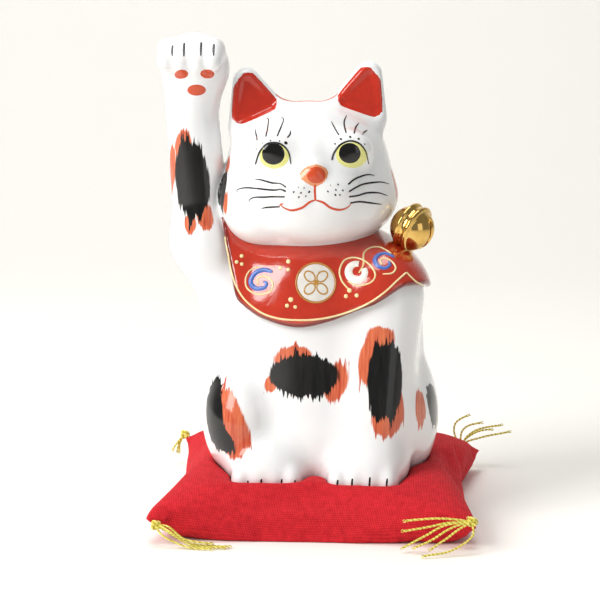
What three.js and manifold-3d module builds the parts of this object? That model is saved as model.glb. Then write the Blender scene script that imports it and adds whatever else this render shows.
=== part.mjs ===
// Beckoning cat figurine: glazed slip-cast porcelain on a small tied cushion.
// Millimetres, +Z up. The cat faces -Y, +X is the cat's own left, and the origin is the
// centre of the cushion's flat underside.
import * as THREE from "three";
import { mergeVertices } from "three/addons/utils/BufferGeometryUtils.js";
import Module from "manifold-3d";

// ---- Driving dimensions -------------------------------------------------------------------
const LIFT = 5; // the figurine is laid out from its own base line, this far above the table
const FOOT = 9; // height of the figurine's foot over that base line, sunk in the cushion
const WALL = 3.6; // slip-cast wall
const GAP = 0.3; // clearance kept between neighbouring pieces
const VENT_RADIUS = 1.8; // air vent through the foot
const FINE = 3.2; // facet size where the modelling is small: paws, head and ears
const COARSE = 6.4; // facet size on the plain flanks and in the hollow

const HEAD_X = -5.8; // the head stands a little off the centre line ...
const HEAD_TURN = THREE.MathUtils.degToRad(8); // ... and looks a little to the cat's left
const LUTE_GAP = 0.5; // seam where the raised foreleg was luted on, as a field difference

const BIB_THICKNESS = 2.7;
const BIB_AXIS = [-3, 2]; // vertical axis that the bib's hem is laid out round
const BIB_TOP = 112;
// Hem of the bib: [angle round the neck in degrees, 0 in front, height].
const BIB_HEM = [
  [-180, 83], [-130, 88], [-112, 120], [-78, 120], [-64, 104], [-57, 92], [-47, 81.2],
  [-30, 74.6], [-8, 72.1], [14, 74.6], [34, 80.4], [52, 88], [64, 87], [74, 84.8],
  [100, 82], [140, 81], [180, 83],
];

const BELL_CENTRE = [35, -7, 107.3];
const BELL_AXIS = [0.8, -0.42, -0.34];
const BELL_RADIUS = 8.6;

const CUSHION_HALF = 62; // half the side of the cushion
const CUSHION_CREST = 19;
const SEAM_HEIGHT = 10;
const CLOTH = 0.8;
const CUSHION_GRID = 13;
const KNOT_RADIUS = 1.9;
const THREAD_RADIUS = 0.5;

// ---- Distance fields ------------------------------------------------------------------------
const clamp = THREE.MathUtils.clamp;

function smoothMin(a, b, k) {
  const h = Math.max(k - Math.abs(a - b), 0) / k;
  return Math.min(a, b) - h * h * k * 0.25;
}

const smoothMax = (a, b, k) => -smoothMin(-a, -b, k);

function ellipsoid(x, y, z, [cx, cy, cz], [rx, ry, rz]) {
  const [a, b, c] = [(x - cx) / rx, (y - cy) / ry, (z - cz) / rz];
  const k0 = Math.hypot(a, b, c);
  return (k0 * (k0 - 1)) / Math.max(Math.hypot(a / rx, b / ry, c / rz), 1e-9);
}

// A round bar that tapers from radius ra at a to rb at b.
function taper(x, y, z, a, b, ra, rb) {
  const d = [b[0] - a[0], b[1] - a[1], b[2] - a[2]];
  const dot = (x - a[0]) * d[0] + (y - a[1]) * d[1] + (z - a[2]) * d[2];
  const t = clamp(dot / (d[0] ** 2 + d[1] ** 2 + d[2] ** 2), 0, 1);
  const gone = Math.hypot(x - a[0] - t * d[0], y - a[1] - t * d[1], z - a[2] - t * d[2]);
  return gone - (ra + (rb - ra) * t);
}

// Signed distance to a triangle in the X-Z plane.
function triangle(x, z, corners) {
  let far = 1e9;
  let inside = true;
  let turn = 0;
  corners.forEach((p, i) => {
    const q = corners[(i + 1) % 3];
    const [ex, ez, wx, wz] = [q[0] - p[0], q[1] - p[1], x - p[0], z - p[1]];
    const t = clamp((wx * ex + wz * ez) / (ex * ex + ez * ez), 0, 1);
    far = Math.min(far, Math.hypot(wx - t * ex, wz - t * ez));
    const side = Math.sign(ex * wz - ez * wx);
    if (turn && side !== turn) inside = false;
    turn = turn || side;
  });
  return inside ? -far : far;
}

function head(px, py, pz) {
  const [c, s] = [Math.cos(HEAD_TURN), Math.sin(HEAD_TURN)];
  const x = (px - HEAD_X) * c + py * s;
  const y = -(px - HEAD_X) * s + py * c;
  const z = pz;
  const m = Math.sqrt(x * x + 0.8); // both halves at once, rounded where they meet
  let d = ellipsoid(x, y, z, [0.3, -1, 119], [34.7, 31, 21.5]);
  d = smoothMin(d, ellipsoid(x, y, z, [0, 1, 135.5], [30, 28, 20]), 10);
  d = smoothMin(d, ellipsoid(x, y, z, [-21, -1, 114], [12.6, 21, 13.5]), 7); // fuller right jowl
  d = smoothMin(d, ellipsoid(m, y, z, [6.4, -26.6, 124.6], [8.4, 6, 6.6]), 7); // muzzle
  d = smoothMin(d, ellipsoid(x, y, z, [0, -29, 131.4], [5.6, 4.2, 4.2]), 3); // nose
  d = smoothMin(d, ellipsoid(x, y, z, [0, -24.5, 113.5], [11, 5.5, 5]), 8); // chin
  d = smoothMax(d, -ellipsoid(m, y, z, [14.6, -35.2, 139.6], [9, 5, 8]), 9); // eye hollows
  d = smoothMin(d, ellipsoid(m, y, z, [14.8, -21.6, 139], [8, 5, 6.6]), 5); // eyes
  const lean = (z - 150) * 0.1;
  const tipped = z + 0.9 - 0.045 * x; // the ears tip a little to the cat's right
  const ear = triangle(m, tipped, [[23.8, 165], [25.6, 148], [13, 152.5]]) - 5.2;
  d = smoothMin(d, smoothMax(ear, Math.abs(y - 1.5 - lean) - 6, 6), 5);
  const cup = triangle(m, tipped, [[23.6, 164.4], [25.8, 152.8], [15.4, 156.8]]) - 3;
  return smoothMax(d, -smoothMax(cup, Math.abs(y + 8.6 - lean) - 6.3, 3), 2);
}

function raisedLeg(x, y, z) {
  let d = taper(x, y, z, [-33, -1, 78], [-45.8, -5, 101], 14, 11.6);
  d = smoothMin(d, taper(x, y, z, [-46.4, -5, 101], [-50.2, -5, 152], 11, 10.2), 8);
  let toes = 99;
  for (const [tx, r] of [[-58.6, 3.6], [-52.9, 4], [-46.6, 4], [-40.9, 3.6]]) {
    toes = smoothMin(toes, taper(x, y, z, [tx, -11, 176], [tx, -17.6, 171.6], 4.2, r), 1.6);
  }
  const paw = ellipsoid(x, y, z, [-48.8, -6, 168.3], [13.3, 12, 13.8]);
  return smoothMin(d, smoothMin(paw, toes, 3.5), 8);
}

// A planted paw: a round foot with four toes in a row.
function paw(x, y, z, centre, radii, toeXs, toeY) {
  return toeXs.reduce(
    (d, tx) => smoothMin(d, ellipsoid(x, y, z, [tx, toeY, 13.8], [4.1, 5.9, 6.6]), 2.4),
    ellipsoid(x, y, z, centre, radii),
  );
}

function torso(x, y, z) {
  let d = ellipsoid(x, y, z, [0, 4, 30], [43, 38, 48]);
  d = smoothMin(d, ellipsoid(x, y, z, [-3, 2, 68], [42, 32, 41]), 12);
  d = smoothMin(d, ellipsoid(x, y, z, [23, -2, 84], [13, 18, 13]), 10); // left shoulder
  d = smoothMin(d, ellipsoid(x, y, z, [-36, -2, 66], [9.5, 20, 24]), 8); // right flank
  d = smoothMin(d, ellipsoid(x, y, z, [-29.5, -8, 33], [17, 28, 25]), 5); // haunches
  d = smoothMin(d, ellipsoid(x, y, z, [31, 1, 33], [14.5, 27, 23]), 5);
  d = smoothMin(d, taper(x, y, z, [25.5, -16, 82], [21.5, -27.5, 22], 13.5, 11.2), 10);
  const front = paw(x, y, z, [19, -28.5, 17], [14.8, 14.5, 11.8], [8.4, 14.5, 21, 27.4], -38.3);
  d = smoothMin(d, front, 7);
  const hindToes = [-28.4, -22.2, -15.6, -9.4];
  d = smoothMin(d, paw(x, y, z, [-19, -27, 17.5], [15.8, 16, 12.2], hindToes, -37.5), 6);
  return smoothMin(d, taper(x, y, z, [12, 40, 14], [27, 33, 26], 7.5, 6), 5); // bobtail
}

const trunk = (x, y, z) => smoothMin(torso(x, y, z), head(x, y, z), 5);
const headless = (x, y, z) => smoothMin(torso(x, y, z), raisedLeg(x, y, z), 6);
// The head runs softly into the neck, but only touches the raised leg.
const cat = (x, y, z) => {
  const soft = THREE.MathUtils.lerp(1.2, 5, clamp((x + 38) / 8, 0, 1));
  return smoothMax(smoothMin(headless(x, y, z), head(x, y, z), soft), FOOT - z, 2.5);
};
// Negative on the raised foreleg's side of the luted seam.
const seam = (x, y, z) => raisedLeg(x, y, z) - trunk(x, y, z);

// Height of the bib's hem at an angle, by a cubic that never overshoots its points.
function hemHeight(angle) {
  const n = BIB_HEM.length - 1;
  const rise = (j) => (BIB_HEM[j + 1][1] - BIB_HEM[j][1]) / (BIB_HEM[j + 1][0] - BIB_HEM[j][0]);
  const slope = (j) => {
    if (j <= 0 || j >= n || rise(j - 1) * rise(j) <= 0) return 0;
    return (2 * rise(j - 1) * rise(j)) / (rise(j - 1) + rise(j));
  };
  const i = clamp(BIB_HEM.findIndex((k) => k[0] > angle) - 1, 0, n - 1);
  const width = BIB_HEM[i + 1][0] - BIB_HEM[i][0];
  const u = (angle - BIB_HEM[i][0]) / width;
  const [low, high] = [BIB_HEM[i][1], BIB_HEM[i + 1][1]];
  const ease = u * u * (3 - 2 * u);
  return low + (high - low) * ease +
    width * (slope(i) * u * (1 - u) ** 2 - slope(i + 1) * u * u * (1 - u));
}

// Everything inside the bib's outer face, within its outline.
function bibMass(x, y, z) {
  const [ax, ay] = [x - BIB_AXIS[0], y - BIB_AXIS[1]];
  const angle = Math.min(THREE.MathUtils.radToDeg(Math.atan2(ax, -ay)), 179.9);
  const reach = Math.max(Math.hypot(ax, ay), 10);
  const slope = ((hemHeight(Math.min(angle + 1, 179.9)) - hemHeight(angle)) * 57.3) / reach;
  const hem = (hemHeight(angle) - z) / Math.hypot(1, slope);
  const drape = smoothMin(torso(x, y, z), raisedLeg(x, y, z), 16);
  let d = smoothMax(drape - GAP - BIB_THICKNESS, hem, 2.4);
  d = smoothMax(d, y < 0 ? -36.8 + 0.2 * (105 - z) - x : -60 - x, 1.5); // tip by the raised leg
  return Math.max(d, z - BIB_TOP, 6 - Math.hypot(ax, ay) / 2);
}

// ---- Meshing --------------------------------------------------------------------------------
const wasm = await Module();
wasm.setup();

function solidOf(geometry) {
  const bare = new THREE.BufferGeometry();
  const flat = geometry.index ? geometry.toNonIndexed() : geometry;
  bare.setAttribute("position", flat.getAttribute("position").clone());
  const merged = mergeVertices(bare, 1e-4);
  return new wasm.Manifold(
    new wasm.Mesh({
      numProp: 3,
      vertProperties: merged.attributes.position.array,
      triVerts: new Uint32Array(merged.index.array),
    }),
  );
}

// The solid's largest connected surface as a geometry, without crumbs left by a cut.
function geometryOf(solid) {
  const mesh = solid.getMesh();
  const tri = mesh.triVerts;
  const parent = Int32Array.from({ length: mesh.vertProperties.length / 3 }, (_, v) => v);
  const root = (v) => {
    while (parent[v] !== v) v = parent[v] = parent[parent[v]];
    return v;
  };
  for (let t = 0; t < tri.length; t += 3) {
    parent[root(tri[t])] = root(tri[t + 1]);
    parent[root(tri[t + 2])] = root(tri[t + 1]);
  }
  const size = new Map();
  for (let t = 0; t < tri.length; t += 3) {
    size.set(root(tri[t]), (size.get(root(tri[t])) ?? 0) + 1);
  }
  const main = [...size].sort((p, q) => q[1] - p[1])[0][0];
  const index = [];
  for (let t = 0; t < tri.length; t += 3) {
    if (root(tri[t]) === main) index.push(tri[t], tri[t + 1], tri[t + 2]);
  }
  const geometry = new THREE.BufferGeometry();
  const place = new THREE.BufferAttribute(mesh.vertProperties, 3);
  geometry.setAttribute("position", place);
  geometry.setIndex(index);
  geometry.computeVertexNormals();
  // Two sheets that only touch are drawn a hair apart.
  const normal = geometry.getAttribute("normal");
  const seen = new Map();
  for (const v of new Set(index)) {
    const key = [place.getX(v), place.getY(v), place.getZ(v)].map((c) => Math.round(c * 500)).join();
    seen.set(key, [...(seen.get(key) ?? []), v]);
  }
  for (const v of [...seen.values()].filter((group) => group.length > 1).flat()) {
    place.setXYZ(v, place.getX(v) - normal.getX(v) * 0.04, place.getY(v) - normal.getY(v) * 0.04,
      place.getZ(v) - normal.getZ(v) * 0.04);
  }
  return geometry;
}

// Moves a point along the field's slope until it lies on the field's zero surface.
function settle(field, p, reach) {
  const start = [...p];
  const e = 0.05;
  for (let k = 0; k < 4; k++) {
    const f = field(...p);
    const g = [0, 1, 2].map((a) => {
      const [hi, lo] = [[...p], [...p]];
      hi[a] += e;
      lo[a] -= e;
      return (field(...hi) - field(...lo)) / (2 * e);
    });
    const steep = Math.max(g[0] ** 2 + g[1] ** 2 + g[2] ** 2, 0.2);
    for (let a = 0; a < 3; a++) {
      p[a] = clamp(p[a] - (f * g[a]) / steep, start[a] - reach, start[a] + reach);
    }
  }
  return p;
}

// Grid lines from one value to another in near-equal steps.
function rule(from, to, step) {
  const n = Math.ceil((to - from) / step);
  return Array.from({ length: n + 1 }, (_, i) => from + ((to - from) * i) / n);
}

const join = (...rules) => [...new Set(rules.flat())];

// Closed net of quads over a field's zero surface: one vertex in each grid cell that it crosses.
function netOf(field, ...lines) {
  const n = lines.map((line) => line.length);
  const id = (i, j, k) => i + n[0] * (j + n[1] * k);
  const at = (i, j, k) => [lines[0][i], lines[1][j], lines[2][k]];
  const value = new Float64Array(n[0] * n[1] * n[2]);
  for (let k = 0; k < n[2]; k++)
    for (let j = 0; j < n[1]; j++)
      for (let i = 0; i < n[0]; i++) value[id(i, j, k)] = field(...at(i, j, k));
  const vertex = new Map();
  const position = [];
  for (let k = 0; k < n[2] - 1; k++)
    for (let j = 0; j < n[1] - 1; j++)
      for (let i = 0; i < n[0] - 1; i++) {
        const sum = [0, 0, 0];
        let crossings = 0;
        for (let corner = 0; corner < 8; corner++)
          for (let a = 0; a < 3; a++) {
            if (corner & (1 << a)) continue;
            const from = [i + (corner & 1), j + ((corner >> 1) & 1), k + ((corner >> 2) & 1)];
            const to = from.map((v, b) => v + (b === a ? 1 : 0));
            const [f, g] = [value[id(...from)], value[id(...to)]];
            if (f < 0 === g < 0) continue;
            const [p, q, t] = [at(...from), at(...to), f / (f - g)];
            for (let b = 0; b < 3; b++) sum[b] += p[b] + (q[b] - p[b]) * t;
            crossings++;
          }
        if (!crossings) continue;
        vertex.set(id(i, j, k), position.length / 3);
        const cell = Math.min(...at(i + 1, j + 1, k + 1).map((v, a) => v - at(i, j, k)[a]));
        position.push(...settle(field, sum.map((v) => v / crossings), cell * 0.35));
      }
  const index = [];
  const point = (v) => new THREE.Vector3().fromArray(position, v * 3);
  const quad = (a, b, c, d) => {
    const cut = point(a).distanceTo(point(c)) < point(b).distanceTo(point(d));
    index.push(...(cut ? [a, b, c, a, c, d] : [a, b, d, b, c, d]));
  };
  for (let k = 1; k < n[2] - 1; k++)
    for (let j = 1; j < n[1] - 1; j++)
      for (let i = 1; i < n[0] - 1; i++)
        for (let a = 0; a < 3; a++) {
          const step = (v, axis, by) => v.map((w, b) => w + (b === axis ? by : 0));
          const here = [i, j, k];
          const inside = value[id(...here)] < 0;
          if (inside === value[id(...step(here, a, 1))] < 0) continue;
          const [b, c] = [(a + 1) % 3, (a + 2) % 3];
          const ring = [
            step(step(here, b, -1), c, -1), step(here, c, -1), here, step(here, b, -1),
          ].map((v) => vertex.get(id(...v)));
          quad(...(inside ? ring : ring.reverse()));
        }
  const geometry = new THREE.BufferGeometry();
  geometry.setAttribute("position", new THREE.Float32BufferAttribute(position, 3));
  geometry.setIndex(index);
  return geometry;
}

// Closed slab between two heights over the cushion's square grid, whose sides bow in a little.
// inset leaves out that many rings of squares.
function slab(top, bottom, inset = 0) {
  const n = CUSHION_GRID - 2 * inset;
  const position = [];
  const plan = (u, v) => [CUSHION_HALF * u * (1 - 0.035 * u * u * (1 - v * v)),
    CUSHION_HALF * v * (1 - 0.035 * v * v * (1 - u * u))];
  const spread = (i) =>
    Math.sin(((i + inset) / CUSHION_GRID - 0.5) * Math.PI * 0.82) / Math.sin(Math.PI * 0.41);
  for (const height of [bottom, top])
    for (let j = 0; j <= n; j++)
      for (let i = 0; i <= n; i++) {
        const [x, y] = plan(spread(i), spread(j));
        position.push(x, y, height(x, y, spread(i), spread(j)));
      }
  const lower = (i, j) => i + j * (n + 1);
  const upper = (i, j) => lower(i, j) + (n + 1) ** 2;
  const index = [];
  const quad = (a, b, c, d) => index.push(a, b, c, a, c, d);
  for (let j = 0; j < n; j++)
    for (let i = 0; i < n; i++) {
      quad(upper(i, j), upper(i + 1, j), upper(i + 1, j + 1), upper(i, j + 1));
      quad(lower(i, j), lower(i, j + 1), lower(i + 1, j + 1), lower(i + 1, j));
    }
  for (let i = 0; i < n; i++) {
    quad(lower(i, 0), lower(i + 1, 0), upper(i + 1, 0), upper(i, 0));
    quad(lower(n, i), lower(n, i + 1), upper(n, i + 1), upper(n, i));
    quad(lower(i + 1, n), lower(i, n), upper(i, n), upper(i + 1, n));
    quad(lower(0, i + 1), lower(0, i), upper(0, i), upper(0, i + 1));
  }
  const geometry = new THREE.BufferGeometry();
  geometry.setAttribute("position", new THREE.Float32BufferAttribute(position, 3));
  geometry.setIndex(index);
  geometry.computeVertexNormals();
  return geometry;
}

// ---- Materials ------------------------------------------------------------------------------
const finish = (name, color, roughness, metalness = 0) =>
  new THREE.MeshStandardMaterial({ name, color, roughness, metalness });
const porcelain = finish("glazed_porcelain", 0xf4f3f0, 0.12);
const redEnamel = finish("red_enamel", 0xb4261a, 0.15);
const gold = finish("gold_lustre", 0xd9a441, 0.1, 1);
const redCloth = finish("red_cotton", 0xc81f28, 0.9);
const wadding = finish("cotton_wadding", 0xeae6da, 0.95);
const thread = finish("yellow_thread", 0xe4dc48, 0.7);

const part = new THREE.Group();
part.name = "ceramic_cat_figurine";

function add(name, geometry, material) {
  const mesh = new THREE.Mesh(geometry, material);
  mesh.name = name;
  part.add(mesh);
}

// Adds a piece of the figurine, which is laid out from its base line.
function addRaised(name, geometry, material) {
  geometry.translate(0, 0, LIFT);
  add(name, geometry, material);
}

// ---- The cast figurine ----------------------------------------------------------------------
const GRID = [
  join(rule(-70, -36, FINE), rule(-36, 32, FINE * 1.1), rule(32, 58, FINE * 1.3)),
  join(rule(-56, 8, FINE * 1.2), rule(8, 56, COARSE)),
  join(rule(2, 24, FINE), rule(24, 104, COARSE), rule(104, 190, FINE)),
];

function makeCastings() {
  const outside = solidOf(netOf(cat, ...GRID));
  // The ears are cast solid, so the hollow stops below them and goes on in the raised leg only.
  const inner = (x, y, z) =>
    Math.max(cat(x, y, z) + WALL, FOOT + WALL - z, Math.min(z - 150, x + 37));
  const hollow = solidOf(
    netOf(inner, rule(-70, 58, COARSE), rule(-56, 56, COARSE), rule(2, 190, COARSE)),
  );
  const vent = new THREE.CylinderGeometry(VENT_RADIUS, VENT_RADIUS, 14, 20);
  vent.rotateX(Math.PI / 2);
  vent.translate(0, 0, FOOT + 2);
  const shell = outside.subtract(hollow);
  const legSide = (shift) => (x, y, z) =>
    Math.max(seam(x, y, z) + shift, Math.abs(x + 45) - 32, Math.abs(y) - 34, 62 - z, z - 194);
  const cutter = (shift) =>
    solidOf(netOf(legSide(shift), rule(-84, 0, FINE), rule(-42, 42, FINE), rule(52, 204, FINE)));
  addRaised("body_casting", geometryOf(
    shell.subtract(cutter(-LUTE_GAP / 2)).subtract(solidOf(vent)),
  ), porcelain);
  addRaised("raised_foreleg", geometryOf(shell.intersect(cutter(LUTE_GAP / 2))), porcelain);
}

function makeBib() {
  const mass = solidOf(
    netOf(bibMass, rule(-66, 62, FINE * 1.2), rule(-56, 56, FINE * 1.2), rule(60, 122, FINE)),
  );
  const under = solidOf(netOf((x, y, z) => cat(x, y, z) - GAP - 0.5, ...GRID));
  addRaised("bib", geometryOf(mass.subtract(under)), redEnamel);
}

// Round bell: a ball with two raised bands round its middle and a slot between them.
function makeBell() {
  const profile = [[0, -BELL_RADIUS]];
  for (let k = 1; k < 14; k++) {
    const a = (k / 14 - 0.5) * Math.PI;
    const band = Math.abs(Math.sin(a)) < 0.33 && Math.abs(Math.sin(a)) > 0.1 ? 0.9 : 0;
    profile.push([Math.cos(a) * (BELL_RADIUS + band), Math.sin(a) * BELL_RADIUS]);
  }
  profile.push([0, BELL_RADIUS]);
  const ball = new THREE.LatheGeometry(profile.map(([r, h]) => new THREE.Vector2(r, h)), 18);
  const slot = new THREE.BoxGeometry(1.6, 5, 12);
  slot.translate(0, BELL_RADIUS, 0);
  const turn = new THREE.Quaternion().setFromUnitVectors(
    new THREE.Vector3(0, 1, 0), new THREE.Vector3(...BELL_AXIS).normalize());
  for (const g of [ball, slot]) {
    g.applyQuaternion(turn);
    g.translate(...BELL_CENTRE);
  }
  const near = (x, y, z) => Math.max(
    Math.min(cat(x, y, z), bibMass(x, y, z)) - GAP - 0.2,
    Math.hypot(x - BELL_CENTRE[0], y - BELL_CENTRE[1], z - BELL_CENTRE[2]) - 16,
  );
  const behind = solidOf(netOf(near, rule(14, 58, 4), rule(-28, 16, 4), rule(84, 129, 4)));
  addRaised("bell", geometryOf(solidOf(ball).subtract(solidOf(slot)).subtract(behind)), gold);
}

// ---- The cushion ----------------------------------------------------------------------------
const puff = (u, v) => Math.pow(Math.max((1 - u ** 6) * (1 - v ** 6), 0), 0.42);

// Lowest point of the figurine over a spot on the table, or a height out of its way.
function underside(x, y) {
  for (let z = FOOT; z < 34; z += 0.5) if (cat(x, y, z + 0.5) < 1.2) return z + LIFT;
  return 99;
}

function cushionTop(x, y, u, v) {
  let low = 99;
  for (let a = 0; a < 8; a++) {
    const [dx, dy] = [Math.cos((a * Math.PI) / 4) * 7, Math.sin((a * Math.PI) / 4) * 7];
    low = Math.min(low, underside(x, y), underside(x + dx, y + dy));
  }
  const crest = SEAM_HEIGHT + (CUSHION_CREST - SEAM_HEIGHT) * puff(u, v);
  return Math.min(crest, low - 1.4);
}

const cushionBottom = (x, y, u, v) =>
  Math.max(SEAM_HEIGHT - GAP * 0.5 - CLOTH - 14 * puff(u, v), 0);

function makeCushion() {
  const overBottom = (x, y, u, v) => cushionBottom(x, y, u, v) + CLOTH;
  const underTop = (x, y, u, v) =>
    Math.max(cushionTop(x, y, u, v) - CLOTH, overBottom(x, y, u, v) + GAP);
  add("cushion_top_panel",
    slab((...at) => underTop(...at) + CLOTH, underTop), redCloth);
  add("cushion_bottom_panel", slab(overBottom, cushionBottom), redCloth);
  add("cushion_filling",
    slab((...at) => underTop(...at) - GAP, (...at) => overBottom(...at) + GAP, 1), wadding);
}

// ---- Tassels --------------------------------------------------------------------------------
// A closed round thread along a smooth line of points.
function strand(points) {
  const curve = new THREE.CatmullRomCurve3(points.map((p) => new THREE.Vector3(...p)));
  const [rings, sides] = [7, 5];
  const { normals, binormals } = curve.computeFrenetFrames(rings, false);
  const position = [];
  for (let i = 0; i <= rings; i++)
    for (let k = 0; k < sides; k++) {
      const a = (k / sides) * Math.PI * 2;
      const p = curve.getPointAt(i / rings);
      p.addScaledVector(normals[i], Math.cos(a) * THREAD_RADIUS);
      position.push(...p.addScaledVector(binormals[i], Math.sin(a) * THREAD_RADIUS).toArray());
    }
  const index = [];
  const at = (i, k) => i * sides + (k % sides);
  for (let i = 0; i < rings; i++)
    for (let k = 0; k < sides; k++) {
      index.push(at(i, k), at(i, k + 1), at(i + 1, k + 1), at(i, k), at(i + 1, k + 1), at(i + 1, k));
    }
  for (let k = 1; k < sides - 1; k++) {
    index.push(at(0, 0), at(0, k + 1), at(0, k));
    index.push(at(rings, 0), at(rings, k), at(rings, k + 1));
  }
  const geometry = new THREE.BufferGeometry();
  geometry.setAttribute("position", new THREE.Float32BufferAttribute(position, 3));
  geometry.setIndex(index);
  return solidOf(geometry);
}

// [corner, knot offset, strands as points from the knot]
const TASSELS = {
  front_left: { knot: [-58, -64.2, 8], ends: [
    [[-54, -65.6, 6.2], [-45, -66, 1.6], [-29.5, -66.2, 0.7]],
    [[-53, -66.4, 6.6], [-44, -67.4, 1.2], [-31, -67.8, 0.7]],
    [[-55, -66.8, 4.6], [-46, -68.4, 0.9], [-36, -69.2, 0.7]],
    [[-53, -65.4, 7.6], [-46.5, -66.6, 3.2], [-36, -66.8, 1.9]],
  ] },
  front_right: { knot: [59.5, -64.2, 11.7], ends: [
    [[50, -65, 12.8], [41, -65, 12.4], [34, -65, 11.2]],
    [[50, -65.4, 11.2], [42, -65.6, 9.2], [33.4, -65.6, 7.8]],
    [[50, -66, 10.6], [42.5, -66.4, 6.6], [33.4, -67, 1.4]],
    [[52, -66.6, 9.8], [45, -67.4, 5.4], [37.6, -68.6, 1.8]],
    [[54, -67.2, 9], [49.5, -68.8, 5.6], [43.6, -69.8, 1.8]],
    [[59.5, -68, 7], [52, -70.5, 2.2], [41, -74, 0.7]],
  ] },
  back_right: { knot: [54, 64.2, 9], ends: [
    [[51.4, 66.6, 14.4], [52.4, 67, 19], [58.1, 67.4, 22]],
    [[54.6, 67.4, 14.6], [58.1, 68, 17.4], [63.6, 68.4, 18.6]],
    [[57.6, 66.8, 13.4], [62.4, 67.4, 16.1], [72, 68, 17.8]],
    [[57, 68.2, 12], [62, 69.2, 14.6], [68, 69.6, 15.2]],
    [[57.6, 66.2, 11], [65, 66.6, 13], [75.4, 67, 15.2]],
  ] },
  back_left: { knot: [-63.5, 63.6, 13.5], ends: [
    [[-65.6, 63.8, 10.5], [-66.2, 63.6, 7.5], [-66.4, 63, 4.8]],
    [[-66.2, 62.6, 10], [-67.6, 62, 7.6], [-68.2, 61.4, 5.8]],
    [[-65.4, 65.2, 9.6], [-65.8, 65.6, 6.6], [-65.6, 66, 3.8]],
  ] },
};

function makeTassels() {
  for (const [name, { knot, ends }] of Object.entries(TASSELS)) {
    const ball = new THREE.IcosahedronGeometry(KNOT_RADIUS, 1);
    ball.translate(...knot);
    const tuft = ends.reduce((whole, end) => whole.add(strand([knot, ...end])), solidOf(ball));
    add(`tassel_${name}`, geometryOf(tuft), thread);
  }
}

makeCastings();
makeBib();
makeBell();
makeCushion();
makeTassels();

export default part;
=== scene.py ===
"""Looks of a glazed porcelain beckoning cat that sits on a small tied cushion.

The forms are modelled in millimetres as smooth solids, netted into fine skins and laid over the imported
frame in metres. Enamels that a painter would put on with a brush are thin domed films on the glaze.
"""

from __future__ import annotations

import logging
import math
from dataclasses import dataclass, field
from enum import Enum
from typing import Callable, Optional, Sequence

import bmesh
import bpy
import numpy as np
from mathutils import Euler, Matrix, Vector


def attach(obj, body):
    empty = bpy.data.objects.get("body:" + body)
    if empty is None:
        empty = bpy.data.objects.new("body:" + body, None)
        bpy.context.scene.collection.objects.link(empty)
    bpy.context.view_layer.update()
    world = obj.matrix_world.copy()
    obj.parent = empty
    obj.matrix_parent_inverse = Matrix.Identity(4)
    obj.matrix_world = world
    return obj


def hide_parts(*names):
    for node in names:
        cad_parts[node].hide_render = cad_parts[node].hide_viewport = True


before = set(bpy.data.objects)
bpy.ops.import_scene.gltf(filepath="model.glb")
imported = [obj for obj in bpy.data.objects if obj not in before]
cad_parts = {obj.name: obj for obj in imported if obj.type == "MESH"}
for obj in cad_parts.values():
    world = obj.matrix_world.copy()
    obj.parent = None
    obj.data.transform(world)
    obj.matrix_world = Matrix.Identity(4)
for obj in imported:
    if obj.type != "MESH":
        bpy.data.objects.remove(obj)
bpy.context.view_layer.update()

LOG = logging.getLogger("beckoning_cat")
MM = 0.001
LIFT = 5.0  # how high the cushion carries the figurine, in millimetres
STROKE_STEP = 0.45  # distance between the points of a painted line or a thread, in millimetres
KEY = 0.05  # how far a film's rim sinks into the glaze, in millimetres
Array = np.ndarray
Field = Callable[[Array], Array]
Point2 = tuple[float, float]
Point3 = tuple[float, float, float]
Tree = bpy.types.NodeTree
Socket = bpy.types.NodeSocket


# ---- Solid modelling ---------------------------------------------------------------------------------


def smooth_min(a: Array, b: Array, reach: Array | float) -> Array:
    """Joins two distances with a fillet."""
    h = np.maximum(reach - np.abs(a - b), 0.0) / reach
    return np.minimum(a, b) - h * h * reach * 0.25


def smooth_max(a: Array, b: Array, reach: Array | float) -> Array:
    """Cuts one form by another with a rounded edge."""
    return -smooth_min(-a, -b, reach)


def ellipsoid(p: Array, centre: Sequence[float], radii: Sequence[float]) -> Array:
    """Near distance to an ellipsoid.

    Args:
        p: Points, one a row.
        centre: Its centre.
        radii: Its three radii.

    Returns:
        One distance a point, negative inside.
    """
    q = (p - np.array(centre)) / np.array(radii)
    k = np.linalg.norm(q, axis=-1)
    return k * (k - 1.0) / np.maximum(np.linalg.norm(q / np.array(radii), axis=-1), 1e-9)


def taper(p: Array, a: Sequence[float], b: Sequence[float], ra: float, rb: float) -> Array:
    """Distance to a round bar that tapers from one end to the other.

    Args:
        p: Points, one a row.
        a: Centre of the first end.
        b: Centre of the second end.
        ra: Radius at the first end.
        rb: Radius at the second end.

    Returns:
        One distance a point, negative inside.
    """
    start, run = np.array(a, float), np.array(b, float) - np.array(a, float)
    t = np.clip((p - start) @ run / (run @ run), 0.0, 1.0)
    return np.linalg.norm(p - start - t[..., None] * run, axis=-1) - (ra + (rb - ra) * t)


def triangle(x: Array, z: Array, corners: Sequence[Point2]) -> Array:
    """Distance to a triangle in the X-Z plane.

    Args:
        x: First coordinates.
        z: Second coordinates.
        corners: The three corners.

    Returns:
        One distance a point, negative inside.
    """
    far = np.full(x.shape, 1e9)
    sides = []
    for (ax, az), (bx, bz) in zip(corners, (*corners[1:], corners[0])):
        ex, ez, wx, wz = bx - ax, bz - az, x - ax, z - az
        t = np.clip((wx * ex + wz * ez) / (ex * ex + ez * ez), 0.0, 1.0)
        far = np.minimum(far, np.hypot(wx - t * ex, wz - t * ez))
        sides.append(ex * wz - ez * wx > 0)
    inside = (sides[0] == sides[1]) & (sides[1] == sides[2])
    return np.where(inside, -far, far)


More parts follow.
